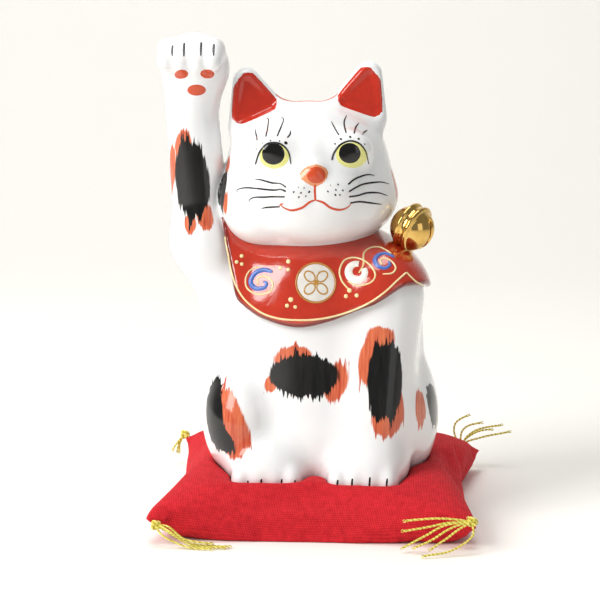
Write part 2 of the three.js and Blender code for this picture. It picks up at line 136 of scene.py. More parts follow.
@dataclass(frozen=True)
class Porcelain:
    """The modelled form of the cat, as a field of distances in millimetres."""

    foot: float = 9.0
    head_x: float = -5.8
    head_turn: float = math.radians(8.0)

    def head(self, p: Array) -> Array:
        """Head with muzzle, nose, chin, eyes and cupped ears.

        Args:
            p: Points, one a row.

        Returns:
            One distance a point.
        """
        c, s = math.cos(self.head_turn), math.sin(self.head_turn)
        dx = p[..., 0] - self.head_x
        x, y, z = dx * c + p[..., 1] * s, -dx * s + p[..., 1] * c, p[..., 2]
        q = np.stack([x, y, z], -1)
        m = np.stack([np.sqrt(x * x + 0.8), y, z], -1)
        d = ellipsoid(q, (0.3, -1, 119), (34.7, 31, 21.5))
        d = smooth_min(d, ellipsoid(q, (0, 1, 135.5), (30, 28, 20)), 10)
        d = smooth_min(d, ellipsoid(q, (-21, -1, 114), (12.6, 21, 13.5)), 7)
        d = smooth_min(d, ellipsoid(m, (6.4, -26.6, 124.6), (8.4, 6, 6.6)), 7)
        d = smooth_min(d, ellipsoid(q, (0, -29, 131.4), (5.6, 4.2, 4.2)), 3)
        d = smooth_min(d, ellipsoid(q, (0, -24.5, 113.5), (11, 5.5, 5)), 8)
        d = smooth_max(d, -ellipsoid(m, (14.6, -35.2, 139.6), (9, 5, 8)), 9)
        d = smooth_min(d, ellipsoid(m, (14.8, -21.6, 139), (8, 5, 6.6)), 5)
        lean = (z - 150) * 0.1
        tipped = z + 0.9 - 0.045 * x
        ear = triangle(m[..., 0], tipped, ((23.8, 165), (25.6, 148), (13, 152.5))) - 5.2
        d = smooth_min(d, smooth_max(ear, np.abs(y - 1.5 - lean) - 6, 6), 5)
        cup = triangle(m[..., 0], tipped, ((23.6, 164.4), (25.8, 152.8), (15.4, 156.8))) - 3
        return smooth_max(d, -smooth_max(cup, np.abs(y + 8.6 - lean) - 6.3, 3), 2)

    def raised_leg(self, p: Array) -> Array:
        """Raised foreleg, from the shoulder to the folded toes.

        Args:
            p: Points, one a row.

        Returns:
            One distance a point.
        """
        d = taper(p, (-33, -1, 78), (-45.8, -5, 101), 14, 11.6)
        d = smooth_min(d, taper(p, (-46.4, -5, 101), (-50.2, -5, 152), 11, 10.2), 8)
        toes = np.full(d.shape, 99.0)
        for x, r in ((-58.6, 3.6), (-52.9, 4.0), (-46.6, 4.0), (-40.9, 3.6)):
            toes = smooth_min(toes, taper(p, (x, -11, 176), (x, -17.6, 171.6), 4.2, r), 1.6)
        paw = ellipsoid(p, (-48.8, -6, 168.3), (13.3, 12, 13.8))
        return smooth_min(d, smooth_min(paw, toes, 3.5), 8)

    def planted_paw(
        self, p: Array, centre: Sequence[float], radii: Sequence[float], toes: Sequence[float], toe_y: float
    ) -> Array:
        """A planted paw: a round foot with toes in a row.

        Args:
            p: Points, one a row.
            centre: Centre of the foot.
            radii: Radii of the foot.
            toes: X of each toe.
            toe_y: Y of all the toes.

        Returns:
            One distance a point.
        """
        d = ellipsoid(p, centre, radii)
        for x in toes:
            d = smooth_min(d, ellipsoid(p, (x, toe_y, 13.8), (4.1, 5.9, 6.6)), 2.4)
        return d

    def torso(self, p: Array) -> Array:
        """Seated trunk with haunches, straight foreleg, planted paws and bobtail.

        Args:
            p: Points, one a row.

        Returns:
            One distance a point.
        """
        d = ellipsoid(p, (0, 4, 30), (43, 38, 48))
        d = smooth_min(d, ellipsoid(p, (-3, 2, 68), (42, 32, 41)), 12)
        d = smooth_min(d, ellipsoid(p, (23, -2, 84), (13, 18, 13)), 10)
        d = smooth_min(d, ellipsoid(p, (-36, -2, 66), (9.5, 20, 24)), 8)
        d = smooth_min(d, ellipsoid(p, (-29.5, -8, 33), (17, 28, 25)), 5)
        d = smooth_min(d, ellipsoid(p, (31, 1, 33), (14.5, 27, 23)), 5)
        d = smooth_min(d, taper(p, (25.5, -16, 82), (21.5, -27.5, 22), 13.5, 11.2), 10)
        left = self.planted_paw(p, (19, -28.5, 17), (14.8, 14.5, 11.8), (8.4, 14.5, 21, 27.4), -38.3)
        d = smooth_min(d, left, 7)
        hind = self.planted_paw(p, (-19, -27, 17.5), (15.8, 16, 12.2), (-28.4, -22.2, -15.6, -9.4), -37.5)
        d = smooth_min(d, hind, 6)
        return smooth_min(d, taper(p, (12, 40, 14), (27, 33, 26), 7.5, 6), 5)

    def whole(self, p: Array) -> Array:
        """The whole cat, flat on its foot.

        Args:
            p: Points, one a row.

        Returns:
            One distance a point.
        """
        soft = 1.2 + 3.8 * np.clip((p[..., 0] + 38) / 8, 0, 1)
        d = smooth_min(smooth_min(self.torso(p), self.raised_leg(p), 6), self.head(p), soft)
        return smooth_max(d, self.foot - p[..., 2], 2.5)


@dataclass(frozen=True)
class BibForm:
    """The bib's relief: draped over chest and shoulders, with a hem laid out round the neck."""

    cat: Porcelain
    thickness: float = 3.0
    axis: Point2 = (-3.0, 2.0)
    top: float = 112.0
    hem: tuple[Point2, ...] = (
        (-180, 83), (-130, 88), (-112, 120), (-78, 120), (-64, 104), (-57, 92), (-47, 81.2), (-30, 74.6),
        (-8, 72.1), (14, 74.6), (34, 80.4), (52, 88), (64, 87), (74, 84.8), (100, 82), (140, 81), (180, 83),
    )

    def hem_height(self, angle: Array) -> Array:
        """Height of the hem, by a cubic that never overshoots its points.

        Args:
            angle: Angles round the neck in degrees, 0 in front.

        Returns:
            One height an angle.
        """
        at, up = (np.array(c, float) for c in zip(*self.hem))
        rise = np.diff(up) / np.diff(at)
        slope = np.zeros(len(at))
        inner = rise[:-1] * rise[1:] > 0
        slope[1:-1][inner] = 2 * (rise[:-1] * rise[1:])[inner] / (rise[:-1] + rise[1:])[inner]
        i = np.clip(np.searchsorted(at, angle, side="right") - 1, 0, len(at) - 2)
        width = at[i + 1] - at[i]
        u = (angle - at[i]) / width
        ease = u * u * (3 - 2 * u)
        bend = slope[i] * u * (1 - u) ** 2 - slope[i + 1] * u * u * (1 - u)
        return up[i] + (up[i + 1] - up[i]) * ease + width * bend

    def below_hem(self, p: Array) -> Array:
        """Distance past the hem, negative on the bib.

        Args:
            p: Points, one a row.

        Returns:
            One distance a point.
        """
        ax, ay = p[..., 0] - self.axis[0], p[..., 1] - self.axis[1]
        angle = np.minimum(np.degrees(np.arctan2(ax, -ay)), 178.9)
        z = self.hem_height(angle)
        slope = (self.hem_height(angle + 1) - z) * 57.3 / np.maximum(np.hypot(ax, ay), 10)
        hem = (z - p[..., 2]) / np.hypot(1, slope)
        tip = np.where(p[..., 1] < 0, -36.8 + 0.2 * (105 - p[..., 2]) - p[..., 0], -60 - p[..., 0])
        return smooth_max(hem, tip, 1.5)

    def whole(self, p: Array) -> Array:
        """The bib as a layer that is keyed a little into the body.

        Args:
            p: Points, one a row.

        Returns:
            One distance a point.
        """
        drape = smooth_min(self.cat.torso(p), self.cat.raised_leg(p), 16)
        d = smooth_max(drape - self.thickness, self.below_hem(p), 2.5)
        d = np.maximum(d, p[..., 2] - self.top)
        return np.maximum(d, -(self.cat.whole(p) + 0.8))


def slope_of(shape: Field, p: Array, step: float = 0.05) -> tuple[Array, Array]:
    """Value and gradient of a field.

    Args:
        shape: The field.
        p: Points, one a row.
        step: Distance over which the slope is taken.

    Returns:
        The values, and one gradient a point.
    """
    value = shape(p)
    grads = [(shape(p + step * np.eye(3)[a]) - value) / step for a in range(3)]
    return value, np.stack(grads, -1)


def settle(shape: Field, p: Array, reach: float, turns: int = 3) -> Array:
    """Moves points onto a field's zero surface.

    Args:
        shape: The field.
        p: Points, one a row.
        reach: How far a point may move along each axis.
        turns: How many steps are taken.

    Returns:
        The moved points.
    """
    start = p.copy()
    for _ in range(turns):
        value, grad = slope_of(shape, p)
        steep = np.maximum((grad * grad).sum(-1), 0.2)
        p = np.clip(p - grad * (value / steep)[:, None], start - reach, start + reach)
    return p


@dataclass
class Skin:
    """A mesh in millimetres: vertices, faces and values held at the vertices."""

    points: Array
    faces: Array
    values: dict[str, Array] = field(default_factory=dict)

    def to_object(self, name: str, lift: float = 0.0) -> bpy.types.Object:
        """Makes a smooth-shaded Blender object in metres.

        Args:
            name: The piece's name.
            lift: How far it is raised, in millimetres.

        Returns:
            The object, linked to the scene.
        """
        mesh = bpy.data.meshes.new(name)
        mesh.from_pydata(((self.points + (0, 0, lift)) * MM).tolist(), [], self.faces.tolist())
        mesh.polygons.foreach_set("use_smooth", np.ones(len(mesh.polygons), bool))
        for key, value in self.values.items():
            mesh.attributes.new(key, "FLOAT", "POINT").data.foreach_set("value", value.astype(np.float32))
        mesh.update()
        piece = bpy.data.objects.new(name, mesh)
        bpy.context.scene.collection.objects.link(piece)
        return piece


@dataclass(frozen=True)
class Netter:
    """Wraps a field's zero surface in a net of quads, one vertex in each cell that it crosses."""

    low: Point3
    high: Point3
    cell: float
    block: int = 5

    def wrap(self, shape: Field) -> Skin:
        """Nets a field.

        Args:
            shape: The field.

        Returns:
            The closed skin.
        """
        spans = zip(self.low, self.high)
        size = [int(math.ceil((high - low) / self.cell / self.block)) * self.block for low, high in spans]
        value = self._sample(shape, size)
        inside = value < 0
        corners = [(i, j, k) for i in (0, 1) for j in (0, 1) for k in (0, 1)]
        shifted = {c: tuple(slice(o, n - 1 + o) for o, n in zip(c, size)) for c in corners}
        count = sum(inside[shifted[c]].astype(np.int8) for c in corners)
        active = (count > 0) & (count < 8)
        cells = np.argwhere(active)
        total, hits = np.zeros((len(cells), 3)), np.zeros(len(cells))
        for c in corners:
            for a in range(3):
                if c[a]:
                    continue
                here = cells + np.array(c)
                there = here + np.eye(3, dtype=int)[a]
                f, g = value[tuple(here.T)], value[tuple(there.T)]
                cross = (f < 0) != (g < 0)
                t = np.where(cross, f / np.where(cross, f - g, 1.0), 0.0)
                spot = here + t[:, None] * np.eye(3)[a]
                total += spot * cross[:, None]
                hits += cross
        points = np.array(self.low) + total / hits[:, None] * self.cell
        number = np.full([n - 1 for n in size], -1)
        number[tuple(cells.T)] = np.arange(len(cells))
        faces = []
        for a in range(3):
            b, c = (a + 1) % 3, (a + 2) % 3
            ahead = tuple(slice(1, n - 1) if i != a else slice(2, n) for i, n in enumerate(size))
            here_in = inside[tuple(slice(1, n - 1) for n in size)]
            change = np.argwhere(here_in != inside[ahead]) + 1
            eb, ec = np.eye(3, dtype=int)[b], np.eye(3, dtype=int)[c]
            ring = np.stack([number[tuple((change - s).T)] for s in (eb + ec, ec, 0 * eb, eb)], -1)
            flip = ~inside[tuple(change.T)]
            ring[flip] = ring[flip][:, ::-1]
            faces.append(ring)
        return Skin(settle(shape, points, self.cell * 0.6), np.concatenate(faces))

    def _sample(self, shape: Field, size: Sequence[int]) -> Array:
        """Samples the field finely near its surface and coarsely elsewhere.

        Args:
            shape: The field.
            size: Grid nodes along each axis, whole blocks each.

        Returns:
            The grid of values.
        """
        coarse = [n // self.block for n in size]
        middle = np.indices(coarse).reshape(3, -1).T * self.block + (self.block - 1) / 2
        rough = shape(np.array(self.low) + middle * self.cell)
        near = np.abs(rough) < self.block * self.cell * 1.25 + 1.0
        value = rough.reshape(coarse)
        for axis in range(3):
            value = np.repeat(value, self.block, axis)
        local = np.indices((self.block,) * 3).reshape(3, -1).T
        starts = np.indices(coarse).reshape(3, -1).T[near] * self.block
        for part in np.array_split(starts, max(1, len(starts) // 1500)):
            nodes = (part[:, None, :] + local[None]).reshape(-1, 3)
            value[tuple(nodes.T)] = shape(np.array(self.low) + nodes * self.cell)
        return value


# ---- Node helpers ------------------------------------------------------------------------------------


def linear(code: str) -> tuple[float, float, float, float]:
    """Turns an sRGB hex value to linear light.

    Args:
        code: Six hex digits.

    Returns:
        Linear red, green and blue, and full opacity.
    """
    parts = [int(code[i : i + 2], 16) / 255 for i in (0, 2, 4)]
    r, g, b = (c / 12.92 if c <= 0.04045 else ((c + 0.055) / 1.055) ** 2.4 for c in parts)
    return r, g, b, 1.0


def put(
    tree: Tree, kind: str, settings: Optional[dict] = None, wires: Optional[dict] = None
) -> bpy.types.Node:
    """Adds a node with its settings and links.

    Args:
        tree: The node tree.
        kind: The node's type.
        settings: Property names, or socket names and numbers, with their values.
        wires: Socket names or numbers with the sockets that feed them.

    Returns:
        The node.
    """
    node = tree.nodes.new(kind)
    settings = settings or {}
    for key, value in settings.items():
        if isinstance(key, str) and hasattr(node, key):
            setattr(node, key, value)
    for key, value in settings.items():
        if not (isinstance(key, str) and hasattr(node, key)):
            node.inputs[key].default_value = value
    for key, socket in (wires or {}).items():
        tree.links.new(socket, node.inputs[key])
    return node


def fresh_material(name: str) -> tuple[bpy.types.Material, Tree, bpy.types.Node]:
    """Starts a material with an empty tree and a shader wired to its output.

    Args:
        name: The material's name.

    Returns:
        The material, its tree and its Principled shader.
    """
    material = bpy.data.materials.new(name)
    material.use_nodes = True
    tree = material.node_tree
    tree.nodes.clear()
    shader = put(tree, "ShaderNodeBsdfPrincipled")
    put(tree, "ShaderNodeOutputMaterial", None, {"Surface": shader.outputs[0]})
    return material, tree, shader


def millimetres(tree: Tree) -> Socket:
    """Gives the piece's own coordinates in millimetres.

    Args:
        tree: The node tree.

    Returns:
        The vector socket.
    """
    place = put(tree, "ShaderNodeTexCoord").outputs["Object"]
    return put(
        tree, "ShaderNodeVectorMath", {"operation": "SCALE", "Scale": 1000.0}, {0: place}
    ).outputs[0]


def set_shader(shader: bpy.types.Node, **values: object) -> None:
    """Sets plain numbers and colours on a shader's own sockets."""
    for key, value in values.items():
        shader.inputs[key.replace("_", " ")].default_value = value


def calc(tree: Tree, operation: str, *terms: Socket | float) -> Socket:
    """Does one step of arithmetic.

    Args:
        tree: The node tree.
        operation: What to do, by its Blender name.
        *terms: Sockets and numbers, in order.

    Returns:
        The result.
    """
    numbers = {k: term for k, term in enumerate(terms) if isinstance(term, float)}
    wires = {k: term for k, term in enumerate(terms) if k not in numbers}
    return put(tree, "ShaderNodeMath", {"operation": operation, **numbers}, wires).outputs[0]


def held(tree: Tree, name: str) -> Socket:
    """Reads a value that the mesh holds at its vertices."""
    return put(tree, "ShaderNodeAttribute", {"attribute_name": name}).outputs["Fac"]


def noise(tree: Tree, place: Socket, scale: float, detail: float, roughness: float = 0.5) -> Socket:
    """Adds a cloud of noise."""
    settings = {"Scale": scale, "Detail": detail, "Roughness": roughness}
    return put(tree, "ShaderNodeTexNoise", settings, {"Vector": place}).outputs[0]


def bands(
    tree: Tree, place: Socket, direction: str, spacing: float, distortion: float, detail_scale: float = 1.0
) -> Socket:
    """Adds soft stripes.

    Args:
        tree: The node tree.
        place: Coordinates in millimetres.
        direction: Across which way they run.
        spacing: Width of one stripe and its gap.
        distortion: How much they wander.
        detail_scale: How fine their wandering is.

    Returns:
        The pattern from 0 to 1.
    """
    settings = {
        "wave_type": "BANDS", "bands_direction": direction, "Scale": 2 * math.pi / 20 / spacing,
        "Distortion": distortion, "Detail": 1.0, "Detail Scale": detail_scale,
    }
    return put(tree, "ShaderNodeTexWave", settings, {"Vector": place}).outputs["Fac"]


def blend(tree: Tree, share: Socket, low: Socket | str, high: Socket | str) -> Socket:
    """Blends two colours.

    Args:
        tree: The node tree.
        share: Share of the second colour.
        low: The first colour, from a socket or as sRGB hex.
        high: The second.

    Returns:
        The blended colour.
    """
    colours = {6: low, 7: high}
    plain = {k: linear(c) for k, c in colours.items() if isinstance(c, str)}
    wires = {k: c for k, c in colours.items() if k not in plain}
    return put(tree, "ShaderNodeMix", {"data_type": "RGBA", **plain}, {0: share, **wires}).outputs[2]


def spread(tree: Tree, value: Socket, span: Point2, to: Point2 = (0.0, 1.0), smooth: bool = False) -> Socket:
    """Spreads a span of values over another.

    Args:
        tree: The node tree.
        value: The value.
        span: Where the span starts and ends.
        to: What its two ends become.
        smooth: Whether it eases in and out.

    Returns:
        The new value.
    """
    settings = {
        "interpolation_type": "SMOOTHSTEP" if smooth else "LINEAR",
        "From Min": span[0], "From Max": span[1], "To Min": to[0], "To Max": to[1],
    }
    return put(tree, "ShaderNodeMapRange", settings, {"Value": value}).outputs[0]


def relief(tree: Tree, shader: bpy.types.Node, height: Socket, strength: float, depth: float) -> None:
    """Gives a shader a fine relief."""
    bump = put(tree, "ShaderNodeBump", {"Strength": strength, "Distance": depth}, {"Height": height})
    tree.links.new(bump.outputs[0], shader.inputs["Normal"])


# ---- Finishes ----------------------------------------------------------------------------------------


class Pigment(Enum):
    """Colours of overglaze enamel."""

    IRON_BLACK = "0C0B0B"
    RUST_ORANGE = "D4502A"
    PALE_ORANGE = "EC9A6C"
    CORAL_RED = "C8321F"
    LEMON = "EFEC94"
    CREAM = "F4E2A8"
    OCHRE = "B98A3E"
    PALE_GREY = "E4E1DA"
    SKY_BLUE = "4C70C2"
    MILK_WHITE = "F4F1EA"


@dataclass(frozen=True)
class BrushedPatch:
    """One patch of enamel laid on the coat with a flat brush.

    Attributes:
        at: Centre on the glaze, in millimetres.
        radii: Half width across the strokes, half depth, half length along them.
        tilt: Turn of the strokes in the front view, in degrees.
        turn: Turn of the patch about the vertical, in degrees.
        cheek: Whether it stays on the head.
    """

    at: Point3
    radii: Point3
    tilt: float = 0.0
    turn: float = 0.0
    cheek: bool = False

    def reach(self, p: Array) -> tuple[Array, Array]:
        """How far out each point lies, 1 on the patch's edge, and how far its hairs stray there.

        Args:
            p: Points, one a row.

        Returns:
            The reach and the stray of each point.
        """
        turned = np.array(Euler((0.0, math.radians(self.tilt), math.radians(self.turn)), "XYZ").to_matrix())
        q = (p - np.array(self.at)) @ turned / np.array(self.radii)
        reach = np.sqrt((q * q).sum(axis=1))
        return reach, 0.10 + 0.5 * np.minimum(q[:, 2] ** 2, 1.2)


def nearest_patch(patches: Sequence[BrushedPatch], p: Array, off_head: Array) -> tuple[Array, Array]:
    """Joins patches: for each point, the one that reaches it best.

    Args:
        patches: The patches.
        p: Points, one a row.
        off_head: Nil on the head, 1 away from it.

    Returns:
        The least reach and its stray.
    """
    found = [patch.reach(p) for patch in patches]
    reach = np.stack([f[0] + patch.cheek * off_head for f, patch in zip(found, patches)])
    best = reach.argmin(0)
    return reach.min(0), np.stack([f[1] for f in found])[best, np.arange(len(p))]


BLACK_PATCHES = (
    BrushedPatch((-49.5, -15, 126), (7.0, 15, 16.6), -4, -5),
    BrushedPatch((-38.2, -14, 122.5), (3.2, 8, 8.2), -6, -30, True),
    BrushedPatch((-5.4, -32, 53.4), (14.0, 16, 8.8), -3, 0),
    BrushedPatch((25.8, -33, 52.6), (7.0, 15, 17.0), 2, 8),
    BrushedPatch((-39.0, -28, 36.4), (6.0, 16, 15.5), -18, -30),
    BrushedPatch((-35.4, -31, 28.6), (4.8, 12, 6.4), -34, -24),
    BrushedPatch((44.6, -9.5, 38.5), (6.6, 8, 9.4), -4, 70),
    BrushedPatch((16, 36, 62), (12.5, 15, 12), 8, 170),
    BrushedPatch((-26, 34, 40), (9.5, 15, 14), -10, 210),
    BrushedPatch((-11, 28, 133), (13, 14, 9), 6, 188),
)
ORANGE_PATCHES = (
    BrushedPatch((-52.6, -14, 139.5), (3.8, 9, 6.5), 12, -10),
    BrushedPatch((-57.5, -11, 131), (2.6, 9, 9.5), 6, -30),
    BrushedPatch((-50.0, -17, 109.5), (2.6, 9, 4.6), -4, -5),
    BrushedPatch((-44.6, -15, 112.5), (3.4, 9, 6.8), -14, 10),
    BrushedPatch((-36.6, -10.5, 131.5), (2.2, 7, 3.6), -6, -30, True),
    BrushedPatch((-34.6, -16, 117.5), (2.0, 7, 5.2), 4, -30, True),
    BrushedPatch((30.2, -5, 124), (2.0, 8, 8.0), 0, 60, True),
    BrushedPatch((-9.4, -31, 60.2), (8.2, 12, 5.2), -12, 0),
    BrushedPatch((-17.8, -29, 49.8), (2.8, 10, 4.0), 20, -8),
    BrushedPatch((7.0, -32, 51.4), (5.0, 11, 8.0), 18, 4),
    BrushedPatch((24.2, -32, 68.6), (6.0, 10, 5.2), 24, 6),
    BrushedPatch((19.6, -33, 60.2), (4.2, 10, 10.6), 8, 4),
    BrushedPatch((30.6, -32, 44.6), (2.5, 9, 9.5), -10, 14),
    BrushedPatch((27.0, -36, 37.6), (6.6, 10, 7.0), 24, 8),
    BrushedPatch((-32.2, -33, 37.0), (5.4, 12, 14.8), -26, -16),
    BrushedPatch((-33.0, -36, 27.4), (7.4, 11, 5.6), 22, -12),
    BrushedPatch((38.6, -21, 39.5), (4.4, 10, 8.2), 4, 45),
    BrushedPatch((26, 34, 70), (7, 12, 8), -14, 165),
    BrushedPatch((6, 36, 52), (7, 12, 7.5), 20, 175),
    BrushedPatch((-34, 28, 51), (5.5, 12, 9), 12, 225),
    BrushedPatch((2, 26, 138), (6, 12, 7), -20, 180),
)


@dataclass(frozen=True)
class GlazedPorcelain:
    """Slip-cast porcelain under a clear gloss glaze, with brushed enamel patches.

    The glaze gives a hard, wet shine over a cool white body; the patches are a little raised and show the
    hairs of the brush where the enamel ran dry.

    Attributes:
        hair_mm: Width of one brush hair's streak.
        hair_length_mm: Its length.
        black_edge: Softness of a black patch's edge, as a share of the patch.
        orange_edge: Softness of an orange one's.
    """

    hair_mm: float = 0.75
    hair_length_mm: float = 13.0
    black_edge: float = 0.07
    orange_edge: float = 0.16

    def brushed(self, tree: Tree, colour: str, hairs: Socket, soft: float) -> Socket:
        """Masks one colour's patches, with the brush's hairs showing along their ends.

        Args:
            tree: The node tree.
            colour: Prefix of the two values held on the skin.
            hairs: The brush-hair pattern.
            soft: Width of the edge, as a share of the patch.

        Returns:
            The mask.
        """
        reach, stray = held(tree, f"{colour}_reach"), held(tree, f"{colour}_stray")
        ragged = calc(tree, "MULTIPLY_ADD", calc(tree, "SUBTRACT", hairs, 0.5), stray, reach)
        return spread(tree, ragged, (1.0, 1.0 - soft), smooth=True)

    def hairs(self, tree: Tree, place: Socket) -> Socket:
        """Streaks left by brush hairs, thin across and long up the coat.

        Args:
            tree: The node tree.
            place: Coordinates in millimetres.

        Returns:
            The streak pattern from 0 to 1.
        """
        found = []
        for wider, longer in ((1.0, 1.0), (3.2, 1.5)):
            width, length = self.hair_mm * wider, self.hair_length_mm * longer
            stretch = {"operation": "MULTIPLY", 1: (1 / width, 0.35 / width, 1 / length)}
            stretched = put(tree, "ShaderNodeVectorMath", stretch, {0: place}).outputs[0]
            found.append(noise(tree, stretched, 1.0, 2.0, 0.6))
        return spread(tree, calc(tree, "ADD", *found), (0.7, 1.3))

    def make(self) -> bpy.types.Material:
        """Builds the material.

        Returns:
            The material.
        """
        material, tree, shader = fresh_material("glazed_porcelain_brushed")
        place = millimetres(tree)
        hairs = self.hairs(tree, place)
        black = self.brushed(tree, "black", hairs, self.black_edge)
        orange = self.brushed(tree, "orange", hairs, self.orange_edge)
        # The body is a cool white that varies very slightly with the glaze's thickness.
        body = blend(tree, noise(tree, place, 0.035, 2.0), "F6F6F5", "EEF0F2")
        # Dry strokes leave light and dark streaks of orange.
        rust = blend(tree, hairs, "BE3D17", "E4794A")
        coated = blend(tree, calc(tree, "MULTIPLY", orange, 0.97), body, rust)
        painted = blend(tree, black, coated, blend(tree, hairs, "080808", "171615"))
        tree.links.new(painted, shader.inputs["Base Color"])
        film = calc(tree, "MAXIMUM", black, orange)
        ridged = calc(tree, "MULTIPLY", film, hairs)
        height = calc(tree, "MULTIPLY_ADD", ridged, 0.5, film)
        ripple = noise(tree, place, 0.09, 1.0)
        relief(tree, shader, calc(tree, "MULTIPLY_ADD", ripple, 2.2, height), 0.35, 0.00018)
        tree.links.new(spread(tree, ridged, (0.0, 1.0), (0.13, 0.24)), shader.inputs["Roughness"])
        set_shader(
            shader, IOR=1.5, Specular_IOR_Level=0.35, Coat_Weight=0.4, Coat_Roughness=0.035, Coat_IOR=1.5,
            Subsurface_Weight=0.06, Subsurface_Scale=0.004,
        )
        return material


@dataclass(frozen=True)
class OverglazeEnamel:
    """Enamel painted on the glaze and fired again: glossy, a little uneven in tone, thicker in the middle."""

    pigment: Pigment
    roughness: float = 0.16

    def make(self) -> bpy.types.Material:
        """Builds the material.

        Returns:
            The material.
        """
        material, tree, shader = fresh_material(f"overglaze_enamel_{self.pigment.name.lower()}")
        # The pigment pools over patches about 2 mm wide.
        pool = noise(tree, millimetres(tree), 0.5, 3.0)
        r, g, b, _ = linear(self.pigment.value)
        dark = (r * 0.82, g * 0.8, b * 0.8, 1)
        light = (min(r * 1.1, 1), min(g * 1.12, 1), min(b * 1.12, 1), 1)
        tone = put(tree, "ShaderNodeMix", {"data_type": "RGBA", 6: dark, 7: light}, {0: pool})
        tree.links.new(tone.outputs[2], shader.inputs["Base Color"])
        relief(tree, shader, pool, 0.25, 0.0001)
        set_shader(
            shader, Roughness=self.roughness, IOR=1.5, Specular_IOR_Level=0.4, Coat_Weight=0.4,
            Coat_Roughness=0.05,
        )
        return material


@dataclass(frozen=True)
class RedBibEnamel:
    """Iron-red enamel over the bib's relief, with painted shade darkening its rolled edge; it mottles as it
    pools.
    """

    def make(self) -> bpy.types.Material:
        """Builds the material.

        Returns:
            The material.
        """
        material, tree, shader = fresh_material("iron_red_enamel")
        pool = noise(tree, millimetres(tree), 0.16, 4.0, 0.6)
        tone = blend(tree, pool, "A62310", "D23A20")
        # Painted shade: the enamel is drawn darker within about 2 mm of the hem, standing in for the shade on
        # the relief's rolled edge.
        rim = spread(tree, held(tree, "hem_mm"), (-2.3, -1.3), smooth=True)
        tree.links.new(blend(tree, rim, tone, "7A2016"), shader.inputs["Base Color"])
        relief(tree, shader, pool, 0.4, 0.0004)
        set_shader(shader, Roughness=0.12, IOR=1.5, Coat_Weight=0.8, Coat_Roughness=0.03)
        return material


@dataclass(frozen=True)
class GoldLustre:
    """Liquid gold fired over the glaze: a mirror bright film that pools a little darker."""

    def make(self) -> bpy.types.Material:
        """Builds the material.

        Returns:
            The material.
        """
        material, tree, shader = fresh_material("gold_lustre")
        pool = noise(tree, millimetres(tree), 0.3, 3.0)
        tree.links.new(blend(tree, pool, "C9953C", "F2D184"), shader.inputs["Base Color"])
        tree.links.new(spread(tree, pool, (0.0, 1.0), (0.05, 0.14)), shader.inputs["Roughness"])
        relief(tree, shader, pool, 0.2, 0.0002)
        set_shader(shader, Metallic=1.0)
        return material


@dataclass(frozen=True)
class PlainWeaveCotton:
    """Dyed cotton in a plain weave: matt, a little fuzzy, with threads that swell and thin."""

    thread_mm: float = 0.9

    def make(self) -> bpy.types.Material:
        """Builds the material.

        Returns:
            The material.
        """
        material, tree, shader = fresh_material("red_plain_weave_cotton")
        place = millimetres(tree)
        # Real threads are about 0.3 mm apart; they are drawn 0.9 mm apart so that the weave shows.
        lean = ((1.0, 0.0, 0.3), (0.0, 1.0, 0.9))
        warp, weft = (
            put(tree, "ShaderNodeVectorMath", {"operation": "DOT_PRODUCT", 1: way}, {0: place})
            for way in lean
        )
        laid = put(tree, "ShaderNodeCombineXYZ", {}, {0: warp.outputs["Value"], 1: weft.outputs["Value"]})
        waves = [bands(tree, laid.outputs[0], axis, self.thread_mm, 0.6, 0.6) for axis in ("X", "Y")]
        weave = calc(tree, "MULTIPLY", *waves)
        light = calc(tree, "MULTIPLY_ADD", weave, 0.5, noise(tree, place, 0.4, 4.0, 0.7))
        tone = blend(tree, spread(tree, light, (0.25, 1.05)), "A80F1C", "E52C36")
        tree.links.new(tone, shader.inputs["Base Color"])
        fibre = noise(tree, place, 2.2, 2.0)
        relief(tree, shader, calc(tree, "MULTIPLY_ADD", fibre, 0.5, weave), 0.5, 0.00018)
        set_shader(
            shader, Roughness=0.86, Sheen_Weight=0.15, Sheen_Roughness=0.5, Sheen_Tint=linear("F05050"),
            Specular_IOR_Level=0.25,
        )
        return material


@dataclass(frozen=True)
class EmbroideryThread:
    """Twisted yellow embroidery thread: soft shine along the twist."""

    twist_mm: float = 1.1

    def make(self) -> bpy.types.Material:
        """Builds the material.

        Returns:
            The material.
        """
        material, tree, shader = fresh_material("yellow_embroidery_thread")
        ply = bands(tree, millimetres(tree), "DIAGONAL", self.twist_mm, 1.5)
        tree.links.new(blend(tree, ply, "C9B42C", "F4EE7C"), shader.inputs["Base Color"])
        relief(tree, shader, ply, 0.6, 0.0002)
        set_shader(shader, Roughness=0.55, Sheen_Weight=0.3, Sheen_Roughness=0.4)
        return material


@dataclass(frozen=True)
class StudioPaper:
    """Off-white backdrop paper, perfectly matt."""

    def make(self) -> bpy.types.Material:
        """Builds the material.

        Returns:
            The material.
        """
        material, tree, shader = fresh_material("studio_paper")
        tooth = noise(tree, millimetres(tree), 0.004, 2.0)
        tree.links.new(blend(tree, tooth, "FDFCFA", "FAF8F2"), shader.inputs["Base Color"])
        set_shader(shader, Roughness=0.95, Specular_IOR_Level=0.1)
        return material


# ---- Painting ----------------------------------------------------------------------------------------


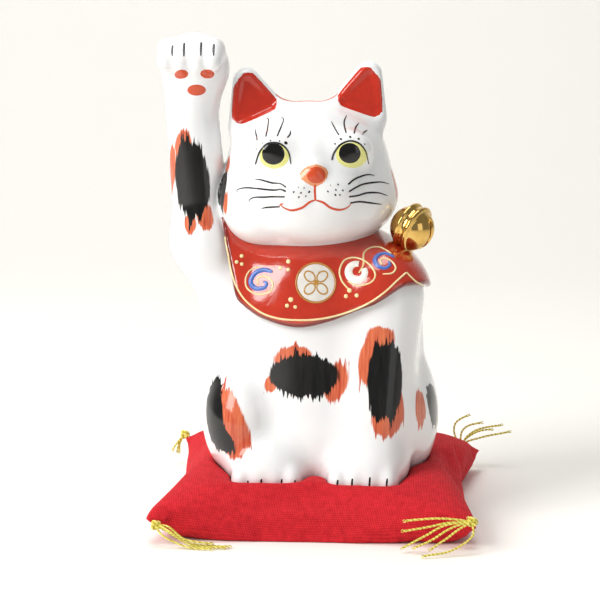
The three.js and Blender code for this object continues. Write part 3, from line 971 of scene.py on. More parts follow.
@dataclass(frozen=True)
class Easel:
    """A flat sheet in front of a form, from which artwork is carried straight back onto its surface.

    Attributes:
        shape: The form's field.
        origin: Where the sheet's centre touches the form, in millimetres.
        turn: How far the sheet is turned to the cat's left, in degrees.
        tip: How far the sheet leans back, in degrees.
    """

    shape: Field
    origin: Point3
    turn: float
    tip: float

    def axes(self) -> tuple[Array, Array, Array]:
        """The sheet's right, up and outward directions."""
        a, e = math.radians(self.turn), math.radians(self.tip)
        out = np.array([math.sin(a) * math.cos(e), -math.cos(a) * math.cos(e), math.sin(e)])
        right = np.array([math.cos(a), math.sin(a), 0.0])
        return right, np.cross(out, right), out

    def carry(self, marks: Array) -> Array:
        """Carries marks from the sheet to the form.

        Args:
            marks: Points on the sheet, right and up, in millimetres.

        Returns:
            One point on the surface for each mark.
        """
        right, up, out = self.axes()
        p = np.array(self.origin) + marks[:, :1] * right + marks[:, 1:] * up + out * 45.0
        for _ in range(70):
            gap = np.clip(self.shape(p), -2.0, 12.0)
            p = p - out * (gap * 0.75)[:, None]
        return p

    def lift(self, p: Array, height: Array) -> Array:
        """Sets points at a height over the surface.

        Args:
            p: Points near the surface.
            height: One height a point.

        Returns:
            The raised points.
        """
        for _ in range(3):
            value, grad = slope_of(self.shape, p)
            p = p + grad * ((height - value) / np.maximum((grad * grad).sum(-1), 0.3))[:, None]
        return p


def smooth_line(points: Sequence[Sequence[float]], spacing: float, closed: bool = False) -> Array:
    """Runs an even smooth line through points.

    Args:
        points: The points, of two or three numbers each.
        spacing: Distance between the line's points.
        closed: Whether it joins up with its start.

    Returns:
        The line's points.
    """
    p = np.array(points, float)
    ring = np.vstack([p[-1:], p, p[:2]]) if closed else np.vstack([2 * p[0] - p[1], p, 2 * p[-1] - p[-2]])
    fine = []
    for a, b, c, d in zip(ring, ring[1:], ring[2:], ring[3:]):
        t = np.linspace(0, 1, 24, endpoint=False)[:, None]
        square = 2 * b + (c - a) * t + (2 * a - 5 * b + 4 * c - d) * t**2
        fine.append(0.5 * (square + (3 * b - a - 3 * c + d) * t**3))
    line = np.vstack([*fine, p[:1] if closed else p[-1:]])
    run = np.concatenate([[0], np.cumsum(np.linalg.norm(np.diff(line, axis=0), axis=1))])
    count = max(5, int(run[-1] / spacing) + 1)
    count += (count + 1) % 2  # a loop has an even number of sides
    even = np.linspace(0, run[-1], count)
    return np.stack([np.interp(even, run, line[:, k]) for k in range(p.shape[1])], -1)


@dataclass
class EnamelFilm:
    """Thin domed films of one enamel, gathered into one piece."""

    name: str
    points: list[Array] = field(default_factory=list)
    faces: list[Array] = field(default_factory=list)
    count: int = 0

    def _keep(self, grid: Array, quads: Array) -> None:
        """Adds a patch of mesh.

        Args:
            grid: Its points.
            quads: Its faces, numbered from its own first point.
        """
        self.points.append(grid)
        self.faces.append(quads + self.count)
        self.count += len(grid)

    def line(
        self, easel: Easel, marks: Sequence[Sequence[float]], width: float, height: float = 0.16,
        ends: tuple[float, float] = (0.35, 0.1), closed: bool = False,
    ) -> None:
        """Paints a brush line.

        Args:
            easel: The sheet it is drawn on.
            marks: Points along it, on the sheet in 2-D or on the form in 3-D.
            width: Its full width.
            height: Height of its crown over the surface.
            ends: Share of the width left at its start and end.
            closed: Whether it is a loop.
        """
        line = smooth_line(marks, STROKE_STEP, closed)
        spine = easel.carry(line) if line.shape[1] == 2 else easel.lift(line, np.zeros(len(line)))
        _, normal = slope_of(easel.shape, spine)
        normal /= np.linalg.norm(normal, axis=-1, keepdims=True)
        along = np.gradient(spine, axis=0)
        if closed:
            along[0] = along[-1] = spine[1] - spine[-2]
        side = np.cross(normal, along)
        side /= np.maximum(np.linalg.norm(side, axis=-1, keepdims=True), 1e-9)
        share = np.linspace(0, 1, len(spine))
        press = np.ones(len(spine))
        if not closed:
            rise = np.minimum(1, ends[0] + (1 - ends[0]) * np.sqrt(np.clip(share / 0.18, 0, 1)))
            fall = np.minimum(1, ends[1] + (1 - ends[1]) * np.sqrt(np.clip((1 - share) / 0.4, 0, 1)))
            press = rise * fall
        rows = []
        for across in (-1.0, -0.72, -0.3, 0.3, 0.72, 1.0):
            p = spine + side * (across * 0.5 * width * press)[:, None]
            crown = (1 - abs(across) ** 2.5) * (height + KEY) - KEY
            rows.append(easel.lift(p, np.full(len(p), crown)))
        grid = np.stack(rows, 1)
        n, m = grid.shape[:2]
        i, j = np.meshgrid(np.arange(n - 1), np.arange(m - 1), indexing="ij")
        at = i * m + j
        quads = np.stack([at, at + 1, at + m + 1, at + m], -1).reshape(-1, 4)
        self._keep(grid.reshape(-1, 3), quads[:, ::-1])

    def spot(
        self, easel: Easel, outline: Sequence[Sequence[float]], height: float = 0.16, rings: int = 7
    ) -> None:
        """Fills an outline that bulges from its middle.

        Args:
            easel: The sheet it is drawn on.
            outline: Points round it on the sheet, counter-clockwise.
            height: Height over the surface.
            rings: Rings of faces from its middle to its rim.
        """
        rim = smooth_line(outline, 0.6, closed=True)[:-1]
        middle = rim.mean(0)
        shares = 1 - (1 - np.linspace(0.05, 1, rings)) ** 1.4
        marks = np.concatenate([middle + (rim - middle) * s for s in shares])
        ground = easel.carry(marks)
        crown = np.repeat([(1 - s**6) * (height + KEY) - KEY for s in shares], len(rim))
        grid = easel.lift(ground, crown)
        n = len(rim)
        quads = []
        for ring in range(len(shares) - 1):
            a = ring * n + np.arange(n)
            b = ring * n + (np.arange(n) + 1) % n
            quads.append(np.stack([a, a + n, b + n, b], -1))
        # The small hole left in the middle is closed by a fan of quads on the first ring's own centre.
        centre = easel.lift(easel.carry(middle[None]), np.array([height]))
        pairs = np.arange(0, n, 2)
        fan = np.stack([np.full(len(pairs), len(grid)), pairs, pairs + 1, (pairs + 2) % n], -1)
        grid = np.vstack([grid, centre])
        self._keep(grid, np.vstack([*quads, fan]))

    def disc(
        self, easel: Easel, centre: Point2, radii: Point2, height: float = 0.16, tilt: float = 0.0
    ) -> None:
        """Fills an ellipse."""
        self.spot(easel, ellipse(centre, radii, tilt), height)

    def finish(self, material: bpy.types.Material) -> bpy.types.Object:
        """Makes the piece, dresses it and fixes it to the figurine.

        Args:
            material: Its finish.

        Returns:
            The piece.
        """
        piece = Skin(np.vstack(self.points), np.vstack(self.faces)).to_object(self.name, LIFT)
        piece.data.materials.append(material)
        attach(piece, "figurine")
        LOG.info("%s: %d faces", self.name, len(piece.data.polygons))
        return piece


def ellipse(centre: Point2, radii: Point2, tilt: float = 0.0, count: int = 16) -> list[Point2]:
    """Points round an ellipse, counter-clockwise.

    Args:
        centre: Its centre.
        radii: Its two radii.
        tilt: Its turn in degrees.
        count: How many points.

    Returns:
        The points.
    """
    c, s = math.cos(math.radians(tilt)), math.sin(math.radians(tilt))
    found = []
    for k in range(count):
        a = 2 * math.pi * k / count
        x, y = math.cos(a) * radii[0], math.sin(a) * radii[1]
        found.append((centre[0] + x * c - y * s, centre[1] + x * s + y * c))
    return found


def spiral(centre: Point2, start: float, end: float, turns: float, begin: float) -> list[Point2]:
    """Points along a flat spiral that turns counter-clockwise.

    Args:
        centre: Its centre.
        start: Radius where it starts.
        end: Radius where it ends.
        turns: How many turns it makes.
        begin: Angle where it starts, in degrees.

    Returns:
        The points.
    """
    count = max(6, int(turns * 12))
    found = []
    for k in range(count + 1):
        t = k / count
        a = math.radians(begin) + 2 * math.pi * turns * t
        r = start + (end - start) * t
        found.append((centre[0] + r * math.cos(a), centre[1] + r * math.sin(a)))
    return found


# ---- The figurine ------------------------------------------------------------------------------------


def rounded(corners: Sequence[Point2], radius: float) -> list[Point2]:
    """Grows a convex outline and rounds its corners.

    Args:
        corners: Its corners, counter-clockwise.
        radius: How far it grows.

    Returns:
        Points round the grown outline.
    """
    p = np.array(corners, float)
    found: list[Point2] = []
    for k in range(len(p)):
        before, after = p[k] - p[k - 1], p[(k + 1) % len(p)] - p[k]
        first = math.atan2(-before[0], before[1])
        last = math.atan2(-after[0], after[1])
        sweep = (last - first) % (2 * math.pi)
        for t in (0.0, 0.33, 0.67, 1.0):
            a = first + sweep * t
            found.append((p[k][0] + radius * math.cos(a), p[k][1] + radius * math.sin(a)))
    return found


@dataclass
class PaintedCat:
    """The glazed cat with its painted face, ears and claws.

    Attributes:
        form: Its modelled form.
        cell: Mesh size of the skin, in millimetres.
        vent: Radius of the air vent in its foot, in millimetres.
    """

    form: Porcelain
    cell: float = 1.0
    vent: float = 1.8

    def vented(self, p: Array) -> Array:
        """The cat's form with the air vent drilled in its foot."""
        hole = np.maximum(np.hypot(p[..., 0], p[..., 1]) - self.vent, p[..., 2] - 20)
        return smooth_max(self.form.whole(p), -hole, 0.8)

    def build(self) -> None:
        """Nets the skin, glazes it and paints it."""
        net = Netter((-66, -50, 6), (50, 50, 186), self.cell)
        skin = net.wrap(self.vented)
        off_head = np.clip((self.form.head(skin.points) - 0.4) / 1.5, 0, 1)
        for colour, patches in (("black", BLACK_PATCHES), ("orange", ORANGE_PATCHES)):
            reach, stray = nearest_patch(patches, skin.points, off_head)
            skin.values[f"{colour}_reach"], skin.values[f"{colour}_stray"] = reach, stray
        piece = skin.to_object("glazed_cat", LIFT)
        piece.data.materials.append(GlazedPorcelain().make())
        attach(piece, "figurine")
        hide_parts("body_casting", "raised_foreleg")
        LOG.info("glazed_cat: %d faces", len(piece.data.polygons))
        black = EnamelFilm("painted_black_lines")
        orange = EnamelFilm("painted_nose_and_mouth")
        self.paint_eyes(black)
        self.paint_muzzle(black, orange)
        self.paint_paws(black, orange)
        self.line_ears(orange)
        black.finish(OverglazeEnamel(Pigment.IRON_BLACK, 0.1).make())
        orange.finish(OverglazeEnamel(Pigment.RUST_ORANGE).make())

    def face(self) -> Easel:
        """The sheet in front of the face, centred on the nose."""
        return Easel(self.form.whole, (-0.9, -32.9, 130.8), 3.9, 7.1)

    def paint_eyes(self, black: EnamelFilm) -> None:
        """Paints round yellow eyes with wide pupils, arched lids, lashes and brow dots.

        Args:
            black: The film that takes the black lines.
        """
        face = self.face()
        yellow = EnamelFilm("painted_eyes")
        yellow.disc(face, (-15.2, 6.9), (5.9, 4.9), 0.12)
        yellow.disc(face, (13.9, 7.4), (6.4, 5.1), 0.12, -4)
        yellow.finish(OverglazeEnamel(Pigment.LEMON, 0.12).make())
        black.disc(face, (-15.5, 7.6), (4.75, 4.35), 0.24)
        black.disc(face, (13.2, 8.0), (4.65, 4.2), 0.24)
        lids = (
            ((-22.4, 4.1), (-20.9, 8.3), (-18.5, 11.3), (-15.6, 12.1), (-12.4, 11.3), (-9.9, 8.5),
             (-9.0, 4.0)),
            ((6.4, 5.6), (7.3, 8.4), (9.7, 11.4), (13.2, 12.8), (16.7, 11.8), (19.1, 8.9), (20.4, 4.1)),
        )
        for lid in lids:
            black.line(face, lid, 0.85, 0.22, (0.9, 0.3))
        lashes = (
            ((-22.7, 17.4), (-22.3, 15.2), (-21.7, 12.9)), ((-18.6, 21.7), (-17.7, 21.1), (-17.8, 18.8),
             (-18.4, 14.3)),
            ((-13.0, 21.8), (-11.9, 21.3), (-12.4, 19.1), (-14.2, 14.5)),
            ((-9.1, 16.8), (-9.4, 15.2), (-10.4, 14.0)),
            ((6.2, 20.3), (7.5, 17.7), (9.1, 15.0)), ((12.1, 22.8), (11.1, 19.8), (11.8, 15.7)),
            ((16.8, 19.9), (15.5, 17.9), (14.8, 15.6)), ((20.1, 17.1), (18.9, 16.3), (17.9, 15.1)),
        )
        for lash in lashes:
            black.line(face, lash[::-1], 0.78, 0.14, (0.85, 0.2))
        dots = (
            (-22.1, 9.7, 0.32), (-19.8, 12.0, 0.38), (-16.7, 12.9, 0.4), (-13.3, 12.7, 0.34),
            (-10.9, 12.0, 0.72),
            (7.6, 11.7, 0.42), (9.8, 13.5, 0.5), (13.3, 14.3, 0.52), (16.5, 13.6, 0.48), (18.8, 11.6, 0.34),
        )
        for x, y, r in dots:
            black.disc(face, (x, y), (r * 1.15, r * 0.9), 0.12, -35)

    def paint_muzzle(self, black: EnamelFilm, orange: EnamelFilm) -> None:
        """Paints the nose, mouth, whiskers and whisker dots.

        Args:
            black: The film that takes the black lines.
            orange: The film that takes the orange ones.
        """
        face = self.face()
        nose = (
            (-6.1, 0.2), (-5.1, -1.9), (-2.7, -3.6), (-0.3, -4.8), (1.2, -4.5), (4.0, -2.7), (5.4, 0.3),
            (4.9, 2.1),
            (3.2, 3.4), (0.2, 4.2), (-2.6, 3.5), (-4.8, 2.0),
        )
        rim = EnamelFilm("painted_nose_wash")
        rim.spot(face, nose, 0.1)
        rim.finish(OverglazeEnamel(Pigment.PALE_ORANGE).make())
        orange.disc(face, (0.4, -0.1), (4.1, 3.6), 0.17)
        orange.line(face, ((0.1, -3.6), (0.0, -6.0), (0.2, -9.6)), 1.0, 0.16, (0.9, 0.9))
        lips = (
            ((0.2, -9.4), (-1.9, -10.2), (-4.8, -12.3), (-8.6, -13.3), (-11.5, -12.4), (-13.1, -11.0)),
            ((0.2, -9.4), (3.2, -10.4), (5.9, -12.3), (9.4, -13.1), (12.4, -12.2), (13.8, -10.6)),
        )
        for lip in lips:
            orange.line(face, lip, 1.05)
        orange.line(face, ((-11.8, -10.7), (-12.6, -11.0), (-13.4, -11.6)), 0.8)
        whiskers = (
            ((-22.6, -1.6), (-19.9, -2.0), (-16.1, -3.0), (-12.9, -3.3), (-10.8, -4.6)),
            ((-29.2, -6.5), (-29.7, -5.9), (-28.5, -5.3), (-25.2, -4.9), (-16.1, -5.7), (-12.9, -5.4),
             (-10.9, -6.2)),
            ((-24.9, -10.2), (-24.6, -9.3), (-22.8, -8.5), (-18.9, -8.4), (-16.1, -8.2), (-11.3, -8.2)),
            ((-20.1, -12.7), (-18.3, -12.3), (-15.6, -12.1), (-13.2, -11.9)),
            ((22.6, -0.2), (20.4, 0.1), (18.3, -0.3), (15.0, -1.6), (12.5, -3.6)),
            ((28.5, -3.4), (24.7, -2.7), (18.8, -3.4), (15.6, -4.7), (12.8, -6.3)),
            ((27.8, -7.9), (24.2, -6.8), (19.9, -6.8), (16.1, -7.8), (12.9, -8.2)),
            ((25.5, -11.2), (20.4, -10.5), (16.7, -10.1), (13.3, -10.6)),
        )
        for whisker in whiskers:
            black.line(face, whisker[::-1], 0.8, 0.15, (0.9, 0.25))
        dots = (
            (-6.2, -4.7, 0.26), (-4.0, -4.9, 0.32), (-7.9, -6.4, 0.46), (-5.2, -6.7, 0.46), (-2.1, -6.4, 0.5),
            (-6.0, -8.3, 0.46), (-3.4, -7.9, 0.4), (5.9, -3.9, 0.26), (8.7, -3.6, 0.44), (4.9, -6.2, 0.46),
            (7.9, -5.6, 0.46), (10.5, -5.8, 0.46), (7.7, -7.5, 0.48), (9.4, -7.5, 0.44),
        )
        for x, y, r in dots:
            black.disc(face, (x, y), (r * 1.15, r * 0.85), 0.12, 50 if x < 0 else -50)

    def paint_paws(self, black: EnamelFilm, orange: EnamelFilm) -> None:
        """Paints claw lines on all the paws and pads on the raised one.

        Args:
            black: The film that takes the claw lines.
            orange: The film that takes the pads.
        """
        paw = Easel(self.form.whole, (-48.3, -17.3, 163.5), 6.8, 4.7)
        for x, low, high in ((-7.8, 10.0, 14.2), (-3.4, 10.0, 15.1), (3.0, 10.2, 15.3), (7.8, 10.2, 14.6)):
            black.line(paw, ((x + 0.2, high), (x, (low + high) / 2), (x, low)), 0.95, 0.16, (0.9, 0.4))
        orange.disc(paw, (-4.4, 3.3), (2.8, 1.8), 0.16, 8)
        orange.disc(paw, (5.4, 3.4), (2.8, 1.8), 0.16, -6)
        orange.disc(paw, (1.3, -2.7), (3.7, 2.2), 0.16)
        feet = Easel(self.form.whole, (0.0, -43.0, 14.0), 3.9, 14.5)
        claws = (
            (-25.6, 1.6, -1.7), (-20.5, 2.2, -2.2), (-12.8, 2.2, -2.2), (-7.7, 1.8, -1.7),
            (8.4, 1.9, -2.4), (13.9, 2.4, -3.0), (20.5, 2.9, -3.0), (27.0, 2.4, -2.8),
        )
        for x, high, low in claws:
            black.line(feet, ((x + 0.2, high), (x, 0.0), (x - 0.1, low)), 0.85, 0.16, (0.7, 0.6))

    def line_ears(self, orange: EnamelFilm) -> None:
        """Lines the ear cups with red and runs an orange line over the crown.

        Args:
            orange: The film that takes the line over the crown.
        """
        red = EnamelFilm("painted_ear_linings")
        ears = Easel(self.form.whole, (self.form.head_x, -3.0, 158.0), 8.0, 6.0)
        cup = ((15.2, -2.2), (25.6, -6.3), (25.0, 3.2), (22.6, 6.2))
        for hand in (-1, 1):
            corners = [(hand * x, z + hand * 0.045 * x) for x, z in cup][::hand]
            red.spot(ears, rounded(corners, 3.7), 0.26, rings=22)
        piece = red.finish(OverglazeEnamel(Pigment.CORAL_RED, 0.1).make())
        crown = Easel(self.form.whole, (self.form.head_x, 0.0, 156.0), 8.0, 72.0)
        stroke = ((-12.5, 0.8), (-8, -0.6), (0, -1.0), (7, -0.6), (11.5, 0.8))
        orange.line(crown, stroke, 3.0, 0.1, (0.3, 0.3))


@dataclass
class PaintedBib:
    """The red bib in relief, with trailed cream slip and painted flowers.

    Attributes:
        form: Its modelled form.
        cell: Mesh size, in millimetres.
    """

    form: BibForm
    cell: float = 0.9

    def build(self) -> None:
        """Nets the bib, enamels it and decorates it."""
        net = Netter((-56, -42, 66), (52, 48, 116), self.cell)
        skin = net.wrap(self.form.whole)
        skin.values["hem_mm"] = self.form.below_hem(skin.points)
        piece = skin.to_object("red_bib", LIFT)
        piece.data.materials.append(RedBibEnamel().make())
        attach(piece, "figurine")
        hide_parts("bib")
        LOG.info("red_bib: %d faces", len(piece.data.polygons))
        self.decorate()

    def round_the_neck(self, inset: float, start: float, end: float) -> Array:
        """Finds a line on the bib at a steady distance over its hem.

        Args:
            inset: Distance over the hem.
            start: Angle where it starts, 0 in front, in degrees.
            end: Angle where it ends.

        Returns:
            Points on the bib.
        """
        angle = np.linspace(start, end, max(4, int(abs(end - start) / 4)))
        folded = (angle + 180) % 360 - 180
        z = self.form.hem_height(folded)
        slope = (self.form.hem_height(np.minimum(folded + 1, 179.9)) - z) * 57.3 / 38
        z = z + inset * np.hypot(1, slope)
        out = np.stack([np.sin(np.radians(angle)), -np.cos(np.radians(angle)), np.zeros(len(angle))], -1)
        x, y = self.form.axis
        p = np.stack([np.full(len(z), x), np.full(len(z), y), z], -1) + out * 62
        for _ in range(60):
            p = p - out * (np.clip(self.form.whole(p), -2, 10) * 0.75)[:, None]
        return p

    def decorate(self) -> None:
        """Trails the slip lines and paints the flowers."""
        front = Easel(self.form.whole, (-0.8, -27.7, 89.3), 3.9, 9.7)
        cream = EnamelFilm("trailed_cream_lines")
        piping = (
            (-34.8, 17.4), (-34.5, 14.8), (-33.6, 10.7), (-32.5, 4.9), (-30.7, -1.0), (-27.5, -6.3),
            (-23.4, -10.0),
            (-18.8, -12.6), (-12.9, -14.1), (-5.9, -14.5), (1.1, -14.1), (8.1, -12.7), (15.1, -10.3),
            (20.9, -7.4),
            (26.2, -3.6), (30.3, 0.2), (34.1, 3.5),
        )
        cream.line(front, piping, 0.8, 0.28, (0.9, 0.9))
        cream.line(front, ((34.3, 3.7), (36.4, 1.6), (38.4, -0.1), (40.6, -1.0)), 0.8, 0.28, (0.9, 0.9))
        cream.line(front, self.round_the_neck(2.4, 87, 231), 0.8, 0.28, (0.9, 0.5))
        scrolls = (
            ((-21.7, -0.9), (-22.4, 0.8), (-21.0, 2.0), (-18.5, 1.8), (-16.5, -0.1), (-16.8, -3.0),
             (-19.6, -4.6),
             (-23.4, -4.4), (-26.3, -2.2), (-26.8, 1.1), (-25.5, 4.0), (-23.1, 5.4), (-20.5, 5.4)),
            ((16.3, 3.4), (18.0, 6.6), (18.3, 11.0), (20.9, 13.1), (24.4, 13.3), (27.3, 11.8), (28.7, 10.8)),
            ((25.0, 6.4), (24.4, 8.2), (26.2, 9.0), (28.8, 7.8), (30.2, 5.4), (28.8, 3.4), (25.2, 3.0)),
            ((12.7, -3.0), (11.0, -1.2), (9.6, 1.0), (9.0, 4.3), (10.7, 8.1), (13.9, 9.3), (17.4, 8.6),
             (20.6, 6.3),
             (22.4, 3.1), (21.5, 0.5), (18.6, -1.0), (15.1, -1.3), (12.1, 0.2)),
        )
        for scroll in scrolls:
            cream.line(front, scroll, 0.78, 0.3, (0.9, 0.6))
        dots = (
            (-28.4, 9.9, 0.78), (-30.3, 7.6, 0.78), (-28.3, 6.8, 0.75), (-10.5, 7.8, 0.9), (-13.5, 5.4, 0.75),
            (-10.5, 4.7, 0.75), (-9.5, -6.7, 1.0), (-10.9, -9.0, 0.85), (-7.8, -9.5, 0.75),
            (11.4, -5.4, 0.85),
            (15.4, -5.1, 0.85), (12.7, -3.2, 0.95),
        )
        for x, y, r in dots:
            cream.disc(front, (x, y), (r, r), 0.35)
        cream.finish(OverglazeEnamel(Pigment.CREAM).make())
        blue = EnamelFilm("painted_blue_scrolls")
        blue.line(
            front, ((-16.5, 3.8), (-19.6, 4.6), (-22.6, 3.7), (-24.5, 1.5), (-24.7, -0.8), (-22.7, -2.5),
                    (-19.7, -2.2),
                    (-18.7, -0.6), (-20.0, 0.2)), 2.1, 0.4, (0.45, 0.4),
        )
        blue.line(
            front, ((29.8, 9.5), (26.7, 10.9), (23.9, 10.4), (22.4, 8.4), (23.4, 6.2), (26.0, 5.3),
                    (28.0, 6.5),
                    (27.6, 7.8)), 1.95, 0.4, (0.45, 0.4),
        )
        blue.finish(OverglazeEnamel(Pigment.SKY_BLUE).make())
        white = EnamelFilm("painted_white_flower")
        white.line(front, spiral((15.5, 3.8), 3.2, 3.0, 0.86, 75), 3.2, 0.38, (0.8, 0.7))
        white.finish(OverglazeEnamel(Pigment.MILK_WHITE).make())
        self.medallion(front)

    def medallion(self, front: Easel) -> None:
        """Paints a pale round medallion with a plain four-petalled flower.

        Args:
            front: The sheet in front of the bib.
        """
        ground = EnamelFilm("painted_medallion_ground")
        ground.disc(front, (0.0, -0.3), (7.4, 7.4), 0.16)
        ground.finish(OverglazeEnamel(Pigment.PALE_GREY).make())
        ochre = EnamelFilm("painted_medallion_flower")
        ochre.line(front, ellipse((0.0, -0.3), (7.5, 7.5), 0, 24), 0.7, 0.3, closed=True)
        for angle in (45, 135, 225, 315):
            a = math.radians(angle)
            centre = (3.3 * math.cos(a), -0.3 + 3.3 * math.sin(a))
            ochre.line(front, ellipse(centre, (2.3, 1.7), angle, 14), 0.85, 0.3, closed=True)
        ochre.disc(front, (0.0, -0.3), (1.2, 1.2), 0.36)
        for x in (-1, 1):
            ochre.line(front, ((0.4 * x, 0.6), (0.7 * x, 2.4), (1.2 * x, 4.2)), 0.5, 0.26)
        ochre.finish(OverglazeEnamel(Pigment.OCHRE).make())


@dataclass
class Bell:
    """A round bell with two raised bands about its middle and a slot in its crown.

    Attributes:
        bib: The bib that it is seated on.
        centre: Its centre, in millimetres.
        axis: The way its crown points.
        radius: Its radius.
        band_at: Distance of each band from the middle.
        band: Half thickness of each band.
        slot: Half width of the slot.
    """

    bib: BibForm
    centre: Point3 = (35.0, -7.0, 107.3)
    axis: Point3 = (0.8, -0.42, -0.34)
    radius: float = 8.6
    band_at: float = 1.9
    band: float = 0.95
    slot: float = 0.7

    def form(self, p: Array) -> Array:
        """The bell's form.

        Args:
            p: Points, one a row.

        Returns:
            One distance a point.
        """
        axis = np.array(self.axis) / np.linalg.norm(self.axis)
        q = p - np.array(self.centre)
        height = q @ axis
        across = np.linalg.norm(q - height[..., None] * axis, axis=-1)
        d = np.linalg.norm(q, axis=-1) - self.radius
        for at in (-self.band_at, self.band_at):
            d = smooth_min(d, np.hypot(across - self.radius - 0.05, height - at) - self.band, 0.5)
        side = np.cross(axis, (0.0, 0.0, 1.0))
        side /= np.linalg.norm(side)
        wide, run = q @ side, np.abs(q @ np.cross(axis, side))
        slit = np.minimum(np.maximum(np.abs(wide) - self.slot, run - 5.0), np.hypot(wide, run - 5.0) - 1.3)
        d = smooth_max(d, -np.maximum(slit, 5.4 - height), 0.5)
        return np.maximum(d, -(np.minimum(self.bib.cat.whole(p), self.bib.whole(p)) + 0.6))

    def build(self) -> None:
        """Nets the bell and gilds it."""
        x, y, z = self.centre
        reach = self.radius + 2.2
        net = Netter((x - reach, y - reach, z - reach), (x + reach, y + reach, z + reach), 0.5)
        piece = net.wrap(self.form).to_object("gilt_bell", LIFT)
        piece.data.materials.append(GoldLustre().make())
        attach(piece, "figurine")
        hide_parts("bell")
        LOG.info("gilt_bell: %d faces", len(piece.data.polygons))


# ---- The cushion -------------------------------------------------------------------------------------


